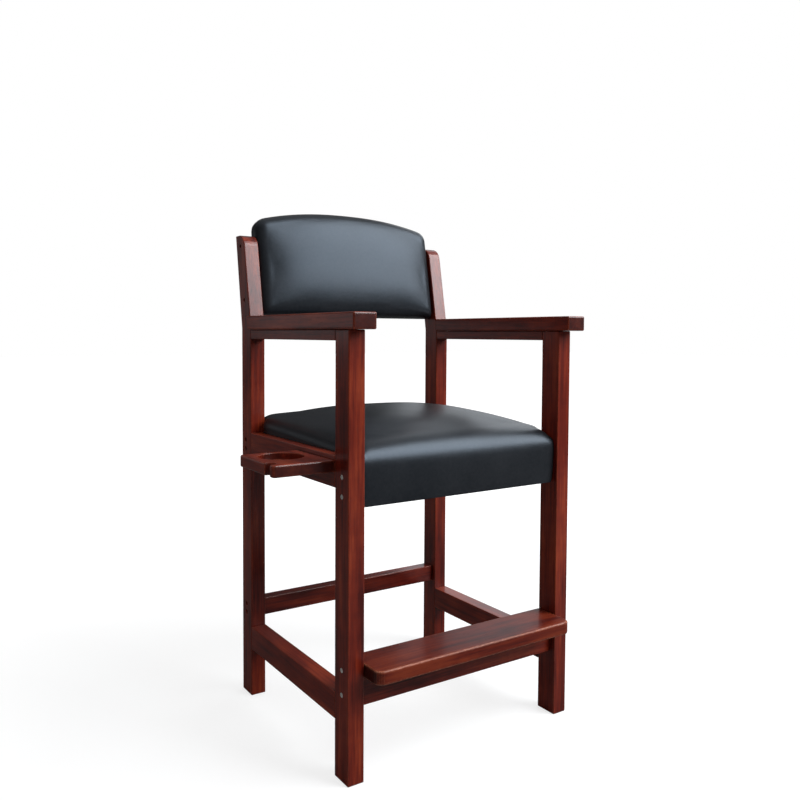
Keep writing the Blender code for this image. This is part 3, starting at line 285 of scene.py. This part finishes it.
def plywood(name):
    """Birch plywood: pale veneer with a grain along Y and darker edges."""
    t = Tree(bpy.data.materials.new(name))
    grain = t.noise(t.coords((1.0, 0.05, 1.0)), 160.0, 4.0, 0.6)
    broad = t.noise(t.coords((1.0, 0.2, 1.0)), 18.0, 4.0, 0.6, 0.5)
    tone = t.math("MULTIPLY_ADD", grain, 0.45, t.math("MULTIPLY", broad, 0.55))
    stops = ((0.3, (0.30, 0.17, 0.078)), (0.55, (0.47, 0.30, 0.155)), (0.75, (0.60, 0.42, 0.245)))
    edge_mask, soft = t.edges(0.001)
    return t.finish(
        Base_Color=t.mix(t.math("MULTIPLY", edge_mask, 0.4), t.ramp(tone, stops), (0.22, 0.12, 0.055)),
        Roughness=t.math("MULTIPLY_ADD", grain, 0.2, 0.55),
        Normal=t.bump(grain, 0.2, 0.0004, soft),
    )


def beech(name):
    """Plain sawn beech with an upright grain, for the corner blocks."""
    t = Tree(bpy.data.materials.new(name))
    flecks = t.noise(t.coords((1.0, 1.0, 0.12)), 320.0, 2.0, 0.6)
    broad = t.noise(t.coords((1.0, 1.0, 0.15)), 26.0, 4.0, 0.6, 0.4)
    colour = t.ramp(broad, ((0.3, (0.36, 0.19, 0.09)), (0.7, (0.56, 0.36, 0.20))))
    colour = t.mix(t.ranged(flecks, 0.58, 0.70, 0.0, 0.6), colour, (0.25, 0.12, 0.05))
    edge_mask, soft = t.edges(0.0015)
    return t.finish(
        Base_Color=t.mix(t.math("MULTIPLY", edge_mask, 0.35), colour, (0.66, 0.46, 0.28)),
        Roughness=t.math("MULTIPLY_ADD", broad, 0.2, 0.5),
        Normal=t.bump(flecks, 0.25, 0.0004, soft),
    )


def steel(name, tint, metallic, seed):
    """Plated steel with fine turning marks and a little tarnish."""
    t = Tree(bpy.data.materials.new(name))
    marks = t.noise(t.coords(offset=(seed, 0, seed)), 2400.0, 2.0, 0.5)
    tarnish = t.noise(t.coords(offset=(seed, seed, 0)), 420.0, 3.0, 0.6)
    colour = t.mix(t.ranged(tarnish, 0.4, 0.72, 0.0, 0.55), tint, tuple(c * 0.45 for c in tint))
    edge_mask, soft = t.edges(0.0006)
    return t.finish(
        Base_Color=t.mix(t.math("MULTIPLY", edge_mask, 0.5), colour, tuple(min(1.0, c * 1.6) for c in tint)),
        Metallic=metallic,
        Roughness=t.math("MULTIPLY_ADD", tarnish, 0.3, 0.34),
        Normal=t.bump(marks, 0.12, 0.0001, soft),
    )


def dress_frame():
    """Gives each rigid CAD node its material, and each wooden one its own piece of the grain."""
    by_start = {
        "seat_board": plywood("birch_plywood"),
        "corner_block": beech("sawn_beech"),
        "bolt": steel("zinc_plated_steel", (0.80, 0.78, 0.75), 0.55, 1.0),
    }
    by_start["back_panel"] = by_start["seat_board"]
    dark = steel("black_oxide_steel", (0.11, 0.105, 0.10), 1.0, 2.0)
    seed = 0
    for name in sorted(NODES):
        axis = next((axis for start, axis in GRAIN.items() if name.startswith(start)), None)
        chosen = next((made for start, made in by_start.items() if name.startswith(start)), None)
        if axis is not None:
            seed += 1
            roundness = BOARD_ROUND if name.startswith(BOARDS) else LEG_ROUND
            # The footrest gets rougher lacquer, wood darkened to two thirds and a pale painted highlight
            # along its edges
            lacquer = SCUFFED_AND_HIGHLIT if name == "footrest" else LACQUERED
            chosen = mahogany("mahogany_" + name, axis, seed, roundness, **lacquer)
        elif "screw" in name:
            chosen = dark
        if chosen:
            for slot in NODES[name].material_slots:
                slot.material = chosen


# Middle of the four legs, and what the CAD boxes say around it
LEG_LO, LEG_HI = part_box("front_leg_left")[LOW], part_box("front_leg_right")[HIGH]
CHAIR = Vector(((LEG_LO.x + LEG_HI.x) / 2, (LEG_HI.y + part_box("rear_leg_left")[LOW].y) / 2, 0.0))


def side_of(node, corner, axis):
    """One side of a CAD node's box from the middle of the legs, to a tenth of a millimetre."""
    return round(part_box(node)[corner][axis] - CHAIR[axis], 4)


# Clearances, and what both cushions share
LEG_FACE, HALF_DEPTH = side_of("rear_leg_left", LOW, Y), -side_of("front_leg_left", LOW, Y)
GAP, SIDE_GAP, BOARD_GAP = 0.0003, 0.0004, 0.0005
GRID_PITCH, ROLL_STEPS, SIDE_ROLL_STEPS = 0.0068, 9, 7
ROLL_POWER, FRONT_ROLL_POWER = 2.5, 2.1
SWELL_INSET = 0.003
SMOOTHING = {"factor": 0.5, "iterations": 3}

# Seat: outline and heights
SEAT_FRONT, SEAT_REAR = side_of("seat_cover", LOW, Y), side_of("seat_cover", HIGH, Y)
SEAT_NARROW = side_of("seat_front_rail", HIGH, X)
SEAT_SWELL = round(side_of("seat_cover", HIGH, X) - SEAT_NARROW, 4)
SWELL_RUN = 0.017
SEAT_FRONT_HEIGHT, SEAT_REAR_HEIGHT = 0.697, 0.719
SEAT_CROWN, SEAT_CROWN_POWER = 0.028, 2.5
SEAT_BULGE = 0.0060
SEAT_ROLLS = {"front": (0.048, 0.040), "side": (0.034, 0.024), "rear": (0.030, 0.024)}
SEAT_TYPICAL_HALF = 0.28
LEAST_WALL = 0.002

# Seat: how far it may swell, how this grows from the front, and which of its points are held
SEAT_CAPS, FREE_RUN = (0.003, 0.004), 0.05
SIDE_FREEDOM = 0.004
HELD_BESIDE_LEG, HELD_PAST_LEG, HELD_BELOW = 0.006, 0.002, 0.69

# Seat: its underside, over the rails and the board, and the turned-in lip of its skirt
SEAT_UNDER = round(side_of("seat_front_rail", HIGH, Z) + 2 * GAP, 4)
BOARD_TOP = round(side_of("seat_board", HIGH, Z) + BOARD_GAP, 4)
LIP_BOTTOM = side_of("seat_cover", LOW, Z)
LIP_ROUND, LIP_LENGTH, LIP_THICKNESS = 0.0014, 0.02, 0.0018
LIP_BELOW, LIP_BEHIND = 0.0005, 0.0050
SKIRT_STEPS, SKIRT_LIMIT = (0.0036, 0.0038), 0.0037
BOARD_STEPS = (0.0117, 0.0122)
SKIRT_SHARES = (*np.arange(1, 15) / 15.5, 0.95, 0.985)

# Back: outline, lean and depths
BACK_HALF, BACK_BASE = side_of("back_cover", HIGH, X), side_of("back_cover", LOW, Z)
BACK_HEIGHT, BACK_ARCH, ARCH_POWER, BACK_CORNER = 0.2826, 0.034, 2.3, 0.029
BACK_LEAN, BACK_ABOVE_BEND, BACK_FROM_REAR = 0.17095, 0.031, 0.012
BACK_EDGE, BACK_ROLL, BACK_REACH = 0.022, 0.024, 0.030
BACK_CROWN, BACK_CROWN_POWER = 0.009, 2.8
FOAM_DEPTH = 0.0210
PANEL_STEPS = (0.0033, 0.0036)
BACK_CAP, BACK_PINNED_DEPTH = 0.005, 0.012

# Lining of the back
LINING_INSET, LINING_EDGE, LINING_PITCH = 0.0041, 0.008, 0.012
LINING_STEPS, LINING_ROWS, LINING_FILL = 5, 20, 0.5
LINING_PUFF, PUFF_RUN, LINING_ROUND = 0.0042, 0.06, 0.003
LINING_EDGE_DEPTH, LINING_INNER_DEPTH = 0.0060, 0.0063

# Swelling: settings of the cloth, its frames, and how much its moves are averaged
CLOTH = {
    "use_pressure": True,
    "uniform_pressure_force": 4.0,
    "quality": 5,
    "mass": 0.4,
    "tension_stiffness": 30,
    "compression_stiffness": 30,
    "shear_stiffness": 12,
    "bending_stiffness": 3,
    "vertex_group_mass": "pinned",
}
FRAMES = 20
EVENING_ROUNDS, KEPT_DETAIL_SHARE = 80, 0.06


def drop(distance, radius):
    """How far a surface has dropped near an edge that a quarter circle rounds."""
    distance = np.clip(distance, 0.0, radius)
    return radius - np.sqrt(radius ** 2 - (radius - distance) ** 2)


def soft_drop(distance, reach, height, power=ROLL_POWER):
    """The same for a padded edge, whose curve starts gently and ends upright."""
    share = np.clip(1 - distance / reach, 0.0, 1.0)
    return height * (1 - np.sqrt(1 - share ** power))


def quarter(steps):
    """Shares of a quarter circle's reach, close together where it is steep."""
    return 1 - np.cos(np.pi / 2 * np.arange(steps + 1) / steps)


def stations(low, high, radii, steps, pitch):
    """Places from low to high: along a quarter circle at each end, evenly spaced between."""
    start = low + radii[0] * quarter(steps)
    end = high - radii[1] * quarter(steps)
    count = max(2, round((end[-1] - start[-1]) / pitch))
    inner = np.linspace(start[-1], end[-1], count + 1)[1:-1]
    return np.concatenate([start, inner, end[::-1]])


def stepped(count, steps_low, steps_high, low, high):
    """Places from low to high: given steps at each end and even steps between them."""
    even = count - len(steps_low) - len(steps_high) + 2
    inner = np.linspace(low + steps_low[-1], high - steps_high[-1], even)[1:-1]
    return np.concatenate([low + np.array(steps_low), inner, high - np.array(steps_high[::-1])])


def closed_grid(name, upper, lower, walls):
    """A closed mesh between two grids of points, with rings of wall points at shares between their rims."""
    rows, columns = upper.shape[:2]
    rim = [(0, j) for j in range(columns - 1)] + [(i, columns - 1) for i in range(rows - 1)]
    rim += [(rows - 1, j) for j in range(columns - 1, 0, -1)] + [(i, 0) for i in range(rows - 1, 0, -1)]
    points, faces = [upper.reshape(-1, 3), lower.reshape(-1, 3)], []
    size = rows * columns
    for i in range(rows - 1):
        for j in range(columns - 1):
            a = i * columns + j
            faces.append((a, a + 1, a + columns + 1, a + columns))
            faces.append((size + a, size + a + columns, size + a + columns + 1, size + a + 1))
    rings = [[i * columns + j for i, j in rim]]
    top = np.array([upper[i, j] for i, j in rim])
    base = np.array([lower[i, j] for i, j in rim])
    for k, share in enumerate(walls):
        rings.append([2 * size + k * len(rim) + n for n in range(len(rim))])
        ring = top * (1 - share) + base * share
        outward = 1 - math.cos(math.pi / 2 * share)
        ring[:, :Z] = top[:, :Z] * (1 - outward) + base[:, :Z] * outward
        points.append(ring)
    rings.append([size + i * columns + j for i, j in rim])
    for first, second in zip(rings, rings[1:]):
        for n in range(len(rim)):
            m = (n + 1) % len(rim)
            faces.append((second[n], second[m], first[m], first[n]))
    mesh = bpy.data.meshes.new(name)
    mesh.from_pydata(np.concatenate(points).tolist(), [], faces)
    made = bpy.data.objects.new(name, mesh)
    scene.collection.objects.link(made)
    return made


def seat_half(y):
    """Half the seat's width: narrow between the legs of a side, wider in between them."""
    reach = LEG_FACE - GAP - np.abs(y)
    share = np.clip(reach / SWELL_RUN, 0.0, 1.0)
    return SEAT_NARROW + SEAT_SWELL * (1 - np.cos(np.pi * share)) / 2


def seat_top(inset):
    """Grid of the seat's crowned top, with its rolled edges."""
    front = SEAT_FRONT - SEAT_BULGE + inset
    rolls = SEAT_ROLLS["front"][0], SEAT_ROLLS["rear"][0]
    ys = stations(front, SEAT_REAR - inset, rolls, ROLL_STEPS, GRID_PITCH)
    edge = SEAT_ROLLS["side"][0] / SEAT_NARROW
    shares = stations(-1.0, 1.0, (edge, edge), SIDE_ROLL_STEPS, GRID_PITCH / SEAT_TYPICAL_HALF)
    y = np.repeat(ys[:, None], len(shares), 1)
    half = seat_half(y) - inset
    x = shares[None, :] * half
    lengthwise = (y - ys[0]) / (ys[-1] - ys[0])
    plane = SEAT_FRONT_HEIGHT + (SEAT_REAR_HEIGHT - SEAT_FRONT_HEIGHT) * lengthwise - inset
    across, off_middle = np.abs(shares)[None, :], np.abs(2 * lengthwise - 1)
    crown = SEAT_CROWN * (1 - across ** SEAT_CROWN_POWER) * (1 - off_middle ** SEAT_CROWN_POWER)
    side = soft_drop(half - np.abs(x), *SEAT_ROLLS["side"])
    fore = soft_drop(y - ys[0], *SEAT_ROLLS["front"], FRONT_ROLL_POWER)
    end = np.maximum(fore, soft_drop(ys[-1] - y, *SEAT_ROLLS["rear"]))
    least = np.minimum(SEAT_UNDER + LEAST_WALL, plane - fore)
    return np.stack([x, y, np.maximum(plane + crown - np.hypot(side, end), least)], 2)


def seat_mesh(inset):
    """The seat as a closed grid, and how many of its points are on top."""
    upper = seat_top(inset)
    rows, columns = upper.shape[:2]
    edge_steps = [0.0, *BOARD_STEPS]
    front_steps = [0.0, LIP_ROUND, LIP_LENGTH, LIP_LENGTH, *SKIRT_STEPS, *BOARD_STEPS]
    low_y = stepped(rows, front_steps, edge_steps, SEAT_FRONT, upper[-1, 0, Y])
    low_z = np.full(rows, BOARD_TOP)
    low_z[:3] = LIP_BOTTOM
    low_z[3:5] = LIP_BOTTOM + LIP_THICKNESS
    low_z[[5, 6, -1, -2]] = SEAT_UNDER
    lower = np.zeros_like(upper)
    for i in range(rows):
        half = float(seat_half(low_y[i])) - inset
        lower[i, :, X] = stepped(columns, edge_steps, edge_steps, -half, half)
        lower[i, :, Y] = low_y[i]
        lower[i, :, Z] = low_z[i]
        lower[i, [0, 1, -1, -2], Z] = min(low_z[i], SEAT_UNDER)
    return closed_grid("seat_cushion", upper, lower, SKIRT_SHARES), rows * columns


def back_frame():
    """Base point, up direction and forward direction of the leaning back."""
    tilt = math.atan(BACK_LEAN)
    base = Vector((0.0, HALF_DEPTH + BACK_ABOVE_BEND * BACK_LEAN - BACK_FROM_REAR, BACK_BASE))
    upward = Vector((0.0, math.sin(tilt), math.cos(tilt)))
    forward = Vector((0.0, -math.cos(tilt), math.sin(tilt)))
    return np.array(base), np.array(upward), np.array(forward)


def from_back(x, up, depth):
    """Points at places across, up and in front of the leaning back's base."""
    base, upward, forward = back_frame()
    y = base[Y] + up * upward[Y] + depth * forward[Y]
    z = base[Z] + up * upward[Z] + depth * forward[Z]
    return np.stack(np.broadcast_arrays(x, y, z), -1)


def back_top(x, inset):
    """Height of the back's arched top, with its rounded corners."""
    arch = BACK_HEIGHT - BACK_ARCH * (np.abs(x) / BACK_HALF) ** ARCH_POWER
    return arch - inset - drop(BACK_HALF - inset - np.abs(x), BACK_CORNER - inset)


def back_grid(xs, shares, inset, radius):
    """Across and up coordinates of a grid that fits the back's outline."""
    x = np.repeat(xs[None, :], len(shares), 0)
    top = back_top(x, inset)
    up = np.empty_like(x)
    for i, (kind, share) in enumerate(shares):
        if kind == "low":
            up[i] = inset + radius * share
        elif kind == "high":
            up[i] = top[i] - radius * share
        else:
            up[i] = inset + radius + (top[i] - inset - 2 * radius) * share
    return x, up, top


def row_shares(edge, between):
    """Rows of a back grid: an edge's shares, even rows between, and the edge's shares again."""
    middle = [("middle", k / between) for k in range(1, between)]
    return [("low", c) for c in edge] + middle + [("high", c) for c in edge[::-1]]


def back_mesh(inset):
    """The back as a closed grid, and how many of its points are in front."""
    half = BACK_HALF - inset
    xs = stations(-half, half, (BACK_REACH, BACK_REACH), ROLL_STEPS, GRID_PITCH)
    shares = row_shares(quarter(ROLL_STEPS), round((BACK_HEIGHT - 2 * BACK_REACH) / GRID_PITCH))
    x, up, top = back_grid(xs, shares, inset, BACK_REACH)
    across = np.abs(x) / half
    rise = np.minimum(1.0, np.abs(2 * (up - inset) / (top - inset) - 1))
    crown = BACK_CROWN * (1 - across ** BACK_CROWN_POWER) * (1 - rise ** BACK_CROWN_POWER)
    side = soft_drop(half - np.abs(x), BACK_REACH, BACK_ROLL)
    end = soft_drop(np.minimum(up - inset, top - up), BACK_REACH, BACK_ROLL)
    depth = BACK_EDGE + BACK_ROLL - inset + crown - np.minimum(np.hypot(side, end), BACK_ROLL)
    upper = from_back(x, up, depth)
    rows, columns = upper.shape[:2]
    steps = [0.0, *PANEL_STEPS]
    low_x = stepped(columns, steps, steps, -half, half)
    lower = np.zeros_like(upper)
    for j in range(columns):
        low_up = stepped(rows, steps, steps, inset, float(back_top(low_x[j], inset)))
        deep = np.full(rows, FOAM_DEPTH)
        deep[[0, 1, -1, -2]] = 0.0
        if j in (0, 1, columns - 1, columns - 2):
            deep[:] = 0.0
        lower[:, j] = from_back(np.full(rows, low_x[j]), low_up, deep)
    return closed_grid("back_cushion", upper, lower, np.arange(1, 6) / 6), rows * columns


def places(mesh):
    co = np.empty(len(mesh.vertices) * 3)
    mesh.vertices.foreach_get("co", co)
    return co.reshape(-1, 3)


def set_places(mesh, co):
    mesh.vertices.foreach_set("co", np.ascontiguousarray(co).ravel())
    mesh.update()


def normals(mesh):
    n = np.empty(len(mesh.vertices) * 3)
    mesh.vertex_normals.foreach_get("vector", n)
    return n.reshape(-1, 3)


def apply(made, kind, **settings):
    """Adds a modifier and keeps its result as the piece's own mesh."""
    modifier = made.modifiers.new(kind, kind)
    for key, value in settings.items():
        setattr(modifier, key, value)
    graph = bpy.context.evaluated_depsgraph_get()
    mesh = bpy.data.meshes.new_from_object(made.evaluated_get(graph))
    made.modifiers.clear()
    made.data = mesh


def evened(mesh, field, fixed, rounds, keep):
    """A field of moves averaged with its neighbours, with a share of its fine detail kept."""
    ends = np.empty(len(mesh.edges) * 2, dtype=np.int64)
    mesh.edges.foreach_get("vertices", ends)
    a, b = ends.reshape(-1, 2).T
    count = np.bincount(np.concatenate([a, b]), minlength=len(field))[:, None]
    even = field.copy()
    for _ in range(rounds):
        total = np.zeros_like(even)
        np.add.at(total, a, even[b])
        np.add.at(total, b, even[a])
        even = 0.5 * even + 0.5 * total / count
        even[fixed] = field[fixed]
    return keep * field + (1 - keep) * even


def simulated(made, pinned):
    """Where the points of a closed mesh go when the cloth simulation blows it up."""
    group = made.vertex_groups.new(name="pinned")
    group.add([int(i) for i in np.nonzero(pinned)[0]], 1.0, "REPLACE")
    cloth = made.modifiers.new("cloth", "CLOTH")
    for name, value in CLOTH.items():
        setattr(cloth.settings, name, value)
    cloth.settings.effector_weights.gravity = 0.0
    cloth.point_cache.frame_start = 1
    cloth.point_cache.frame_end = FRAMES
    for now in range(1, FRAMES + 1):
        scene.frame_set(now)
    graph = bpy.context.evaluated_depsgraph_get()
    moved = places(bpy.data.meshes.new_from_object(made.evaluated_get(graph)))
    made.modifiers.clear()
    made.vertex_groups.clear()
    scene.frame_set(1)
    return moved


def inflate(made, pinned, cap):
    """Swells a closed mesh by simulation, holds each point to its cap and evens out the moves."""
    start, outward = places(made.data), normals(made.data)
    step = simulated(made, pinned) - start
    length = np.linalg.norm(step, axis=1)
    step *= np.minimum(1.0, cap / np.maximum(length, 1e-9))[:, None]
    step = evened(made.data, step, pinned, EVENING_ROUNDS, KEPT_DETAIL_SHARE)
    inward = np.minimum(np.sum(step * outward, 1), 0.0)
    step -= inward[:, None] * outward
    set_places(made.data, start + step)


def swell(made, pinned, cap, held):
    """Swells and smooths a cushion, and leaves the points that held() picks unsmoothed."""
    inflate(made, pinned, cap)
    swollen = places(made.data)
    apply(made, "SMOOTH", **SMOOTHING)
    co = places(made.data)
    kept = held(swollen)
    co[kept] = swollen[kept]
    set_places(made.data, co)


def finish_soft(made, sources, material):
    """Moves a soft piece to the chair, refines it, hangs it under the root body, hides the CAD nodes that
    it takes the place of and gives it its material.
    """
    set_places(made.data, places(made.data) + np.array(CHAIR))
    apply(made, "SUBSURF", levels=1, render_levels=1)
    for face in made.data.polygons:
        face.use_smooth = True
    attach(made, "root")
    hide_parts(*sources)
    made.data.materials.clear()
    made.data.materials.append(material)


def hold_seat(made):
    """Keeps the swollen seat clear of the legs beside it and the rails below it."""
    co = places(made.data)
    reach = np.clip((LEG_FACE - GAP - np.abs(co[:, Y])) / FREE_RUN, 0.0, 1.0)
    co[:, X] *= (SEAT_NARROW - SIDE_GAP) / (SEAT_NARROW - SWELL_INSET)
    limit = seat_half(co[:, Y]) - SIDE_GAP + SIDE_FREEDOM * reach
    co[:, X] = np.clip(co[:, X], -limit, limit)
    behind = co[:, Y] > SEAT_FRONT + SKIRT_LIMIT
    co[behind, Z] = np.maximum(co[behind, Z], SEAT_UNDER)
    set_places(made.data, co)


def make_seat():
    made, upper = seat_mesh(SWELL_INSET)
    co = places(made.data)
    index = np.arange(len(co))
    under = (index >= upper) & (index < 2 * upper)
    beside_leg = np.abs(co[:, X]) > SEAT_NARROW - HELD_BESIDE_LEG
    at_leg = beside_leg & (np.abs(co[:, Y]) > LEG_FACE - HELD_PAST_LEG)
    pinned = under | (at_leg & (co[:, Z] < HELD_BELOW))
    free = np.clip((co[:, Y] - SEAT_FRONT) / FREE_RUN, 0.0, 1.0)

    def held(now):
        lip = (now[:, Z] < SEAT_UNDER - LIP_BELOW) & (now[:, Y] > SEAT_FRONT + LIP_BEHIND)
        return under | lip

    swell(made, pinned, SEAT_CAPS[0] + SEAT_CAPS[1] * free, held)
    hold_seat(made)
    finish_soft(made, ["seat_cover", "seat_foam"], vinyl("black_vinyl_seat", 1.0))


def widen_back(made):
    """Takes the inset that left room for the swelling back off the outline."""
    co = places(made.data)
    base, upward, _ = back_frame()
    up = (co - base) @ upward - BACK_HEIGHT / 2
    grown = up * (BACK_HEIGHT / (BACK_HEIGHT - 2 * SWELL_INSET) - 1)
    co += grown[:, None] * upward
    half = BACK_HALF - GAP
    co[:, X] = np.clip(co[:, X] * half / (BACK_HALF - SWELL_INSET), -half, half)
    set_places(made.data, co)


def make_back():
    made, upper = back_mesh(SWELL_INSET)
    co = places(made.data)
    index = np.arange(len(co))
    behind = (index >= upper) & (index < 2 * upper)
    base, _, forward = back_frame()
    pinned = behind | ((co - base) @ forward < BACK_PINNED_DEPTH)
    swell(made, pinned, np.full(len(co), BACK_CAP), lambda now: behind)
    widen_back(made)
    finish_soft(made, ["back_cover", "back_foam"], vinyl("black_vinyl_back", 2.0))


def make_lining():
    """The padded vinyl panel that closes the rear of the back."""
    half = BACK_HALF - LINING_INSET
    xs = stations(-half, half, (LINING_EDGE, LINING_EDGE), LINING_STEPS, LINING_PITCH)
    curve = LINING_EDGE / BACK_ROLL * quarter(LINING_STEPS)
    edge = np.concatenate([curve, np.linspace(curve[-1], 1.0, 3)[1:]])
    x, up, top = back_grid(xs, row_shares(edge, LINING_ROWS), LINING_INSET, BACK_ROLL)
    rim = np.minimum(half - np.abs(x), np.minimum(up - LINING_INSET, top - up))
    puff = LINING_PUFF * (1 - np.clip(1 - rim / PUFF_RUN, 0.0, 1.0) ** 2)
    depth = np.minimum(LINING_PUFF - puff + drop(rim, LINING_ROUND), LINING_EDGE_DEPTH)
    outer = from_back(x, up, depth)[:, ::-1]
    inner = from_back(x, up, np.full_like(x, LINING_INNER_DEPTH))[:, ::-1]
    made = closed_grid("back_lining_panel", outer, inner, [0.5])
    finish_soft(made, ["back_lining"], vinyl("black_vinyl_lining", 3.0))


def make_camera():
    yaw, pitch, roll = (math.radians(angle) for angle in (CAMERA_YAW, CAMERA_PITCH, CAMERA_ROLL))
    level = Vector((math.cos(yaw), -math.sin(yaw), 0.0))
    forward = Vector((math.sin(yaw) * math.cos(pitch), math.cos(yaw) * math.cos(pitch), -math.sin(pitch)))
    upright = level.cross(forward)
    right = level * math.cos(roll) + upright * math.sin(roll)
    up = upright * math.cos(roll) - level * math.sin(roll)
    data = bpy.data.cameras.new("camera")
    data.sensor_width = SENSOR_WIDTH
    data.lens = LENS
    data.shift_x = SHIFT_X
    data.shift_y = SHIFT_Y
    camera = bpy.data.objects.new("camera", data)
    rows = Matrix((right, up, -forward)).transposed().to_4x4()
    rows.translation = Vector(CAMERA_PLACE)
    camera.matrix_world = rows
    scene.collection.objects.link(camera)
    scene.camera = camera


def make_lamp(name, place, aim, size, power, colour):
    data = bpy.data.lights.new(name, "AREA")
    data.shape = "RECTANGLE"
    data.size, data.size_y = size
    data.energy = power
    data.color = colour
    lamp = bpy.data.objects.new(name, data)
    lamp.location = place
    lamp.rotation_euler = (Vector(aim) - Vector(place)).to_track_quat("-Z", "Y").to_euler()
    scene.collection.objects.link(lamp)


def make_world():
    """A soft dome, dim at the horizon and bright overhead, that the camera sees as white."""
    world = bpy.data.worlds.new("studio")
    scene.world = world
    t = Tree(world)
    seen, mirrored = t.light_path()
    source = t.tree.nodes.new("ShaderNodeTexCoord")
    split = t.tree.nodes.new("ShaderNodeSeparateXYZ")
    t.put(source.outputs["Generated"], split.inputs[0])
    rise = split.outputs["Z"]
    sky = t.ranged(rise, *SKY_RISE_SHARES, *SKY_LEVELS)
    shown = t.ranged(rise, *MIRRORED_RISE_SHARES, *MIRRORED_LEVELS)
    as_light = t.math("MULTIPLY", sky, t.math("SUBTRACT", 1.0, mirrored))
    level = t.math("ADD", as_light, t.math("MULTIPLY", shown, mirrored))
    background = t.tree.nodes["Background"]
    background.inputs["Color"].default_value = (1.0, 1.0, 1.0, 1.0)
    t.put(t.math("MAXIMUM", level, seen), background.inputs["Strength"])


def make_floor():
    """A pale floor that glows to the camera, more so further out, and keeps the chair's shadow."""
    mesh = bpy.data.meshes.new("floor")
    corners = [(FLOOR_REACH * x, FLOOR_REACH * y, 0) for x, y in ((-1, -1), (1, -1), (1, 1), (-1, 1))]
    mesh.from_pydata(corners, [], [(0, 1, 2, 3)])
    floor = bpy.data.objects.new("floor", mesh)
    scene.collection.objects.link(floor)
    t = Tree(bpy.data.materials.new("pale_floor"))
    seen, mirrored = t.light_path()
    distance = t.tree.nodes.new("ShaderNodeVectorMath")
    distance.operation = "LENGTH"
    t.put(t.coords(), distance.inputs[0])
    glow = t.ranged(distance.outputs["Value"], *GLOW_DISTANCES, *GLOW_LEVELS)
    t.finish(
        Base_Color=t.math("MULTIPLY_ADD", mirrored, MIRRORED_FLOOR_SHADE - FLOOR_SHADE, FLOOR_SHADE),
        Roughness=0.9,
        Specular_IOR_Level=0.1,
        Emission_Color=(1.0, 1.0, 1.0),
        Emission_Strength=t.math("MULTIPLY", seen, glow),
    )
    mesh.materials.append(t.owner)


make_camera()
for lamp_name, values in LAMPS.items():
    make_lamp(lamp_name, *values)
make_world()
make_floor()
dress_frame()
make_seat()
make_back()
make_lining()
scene.view_settings.view_transform = "Standard"
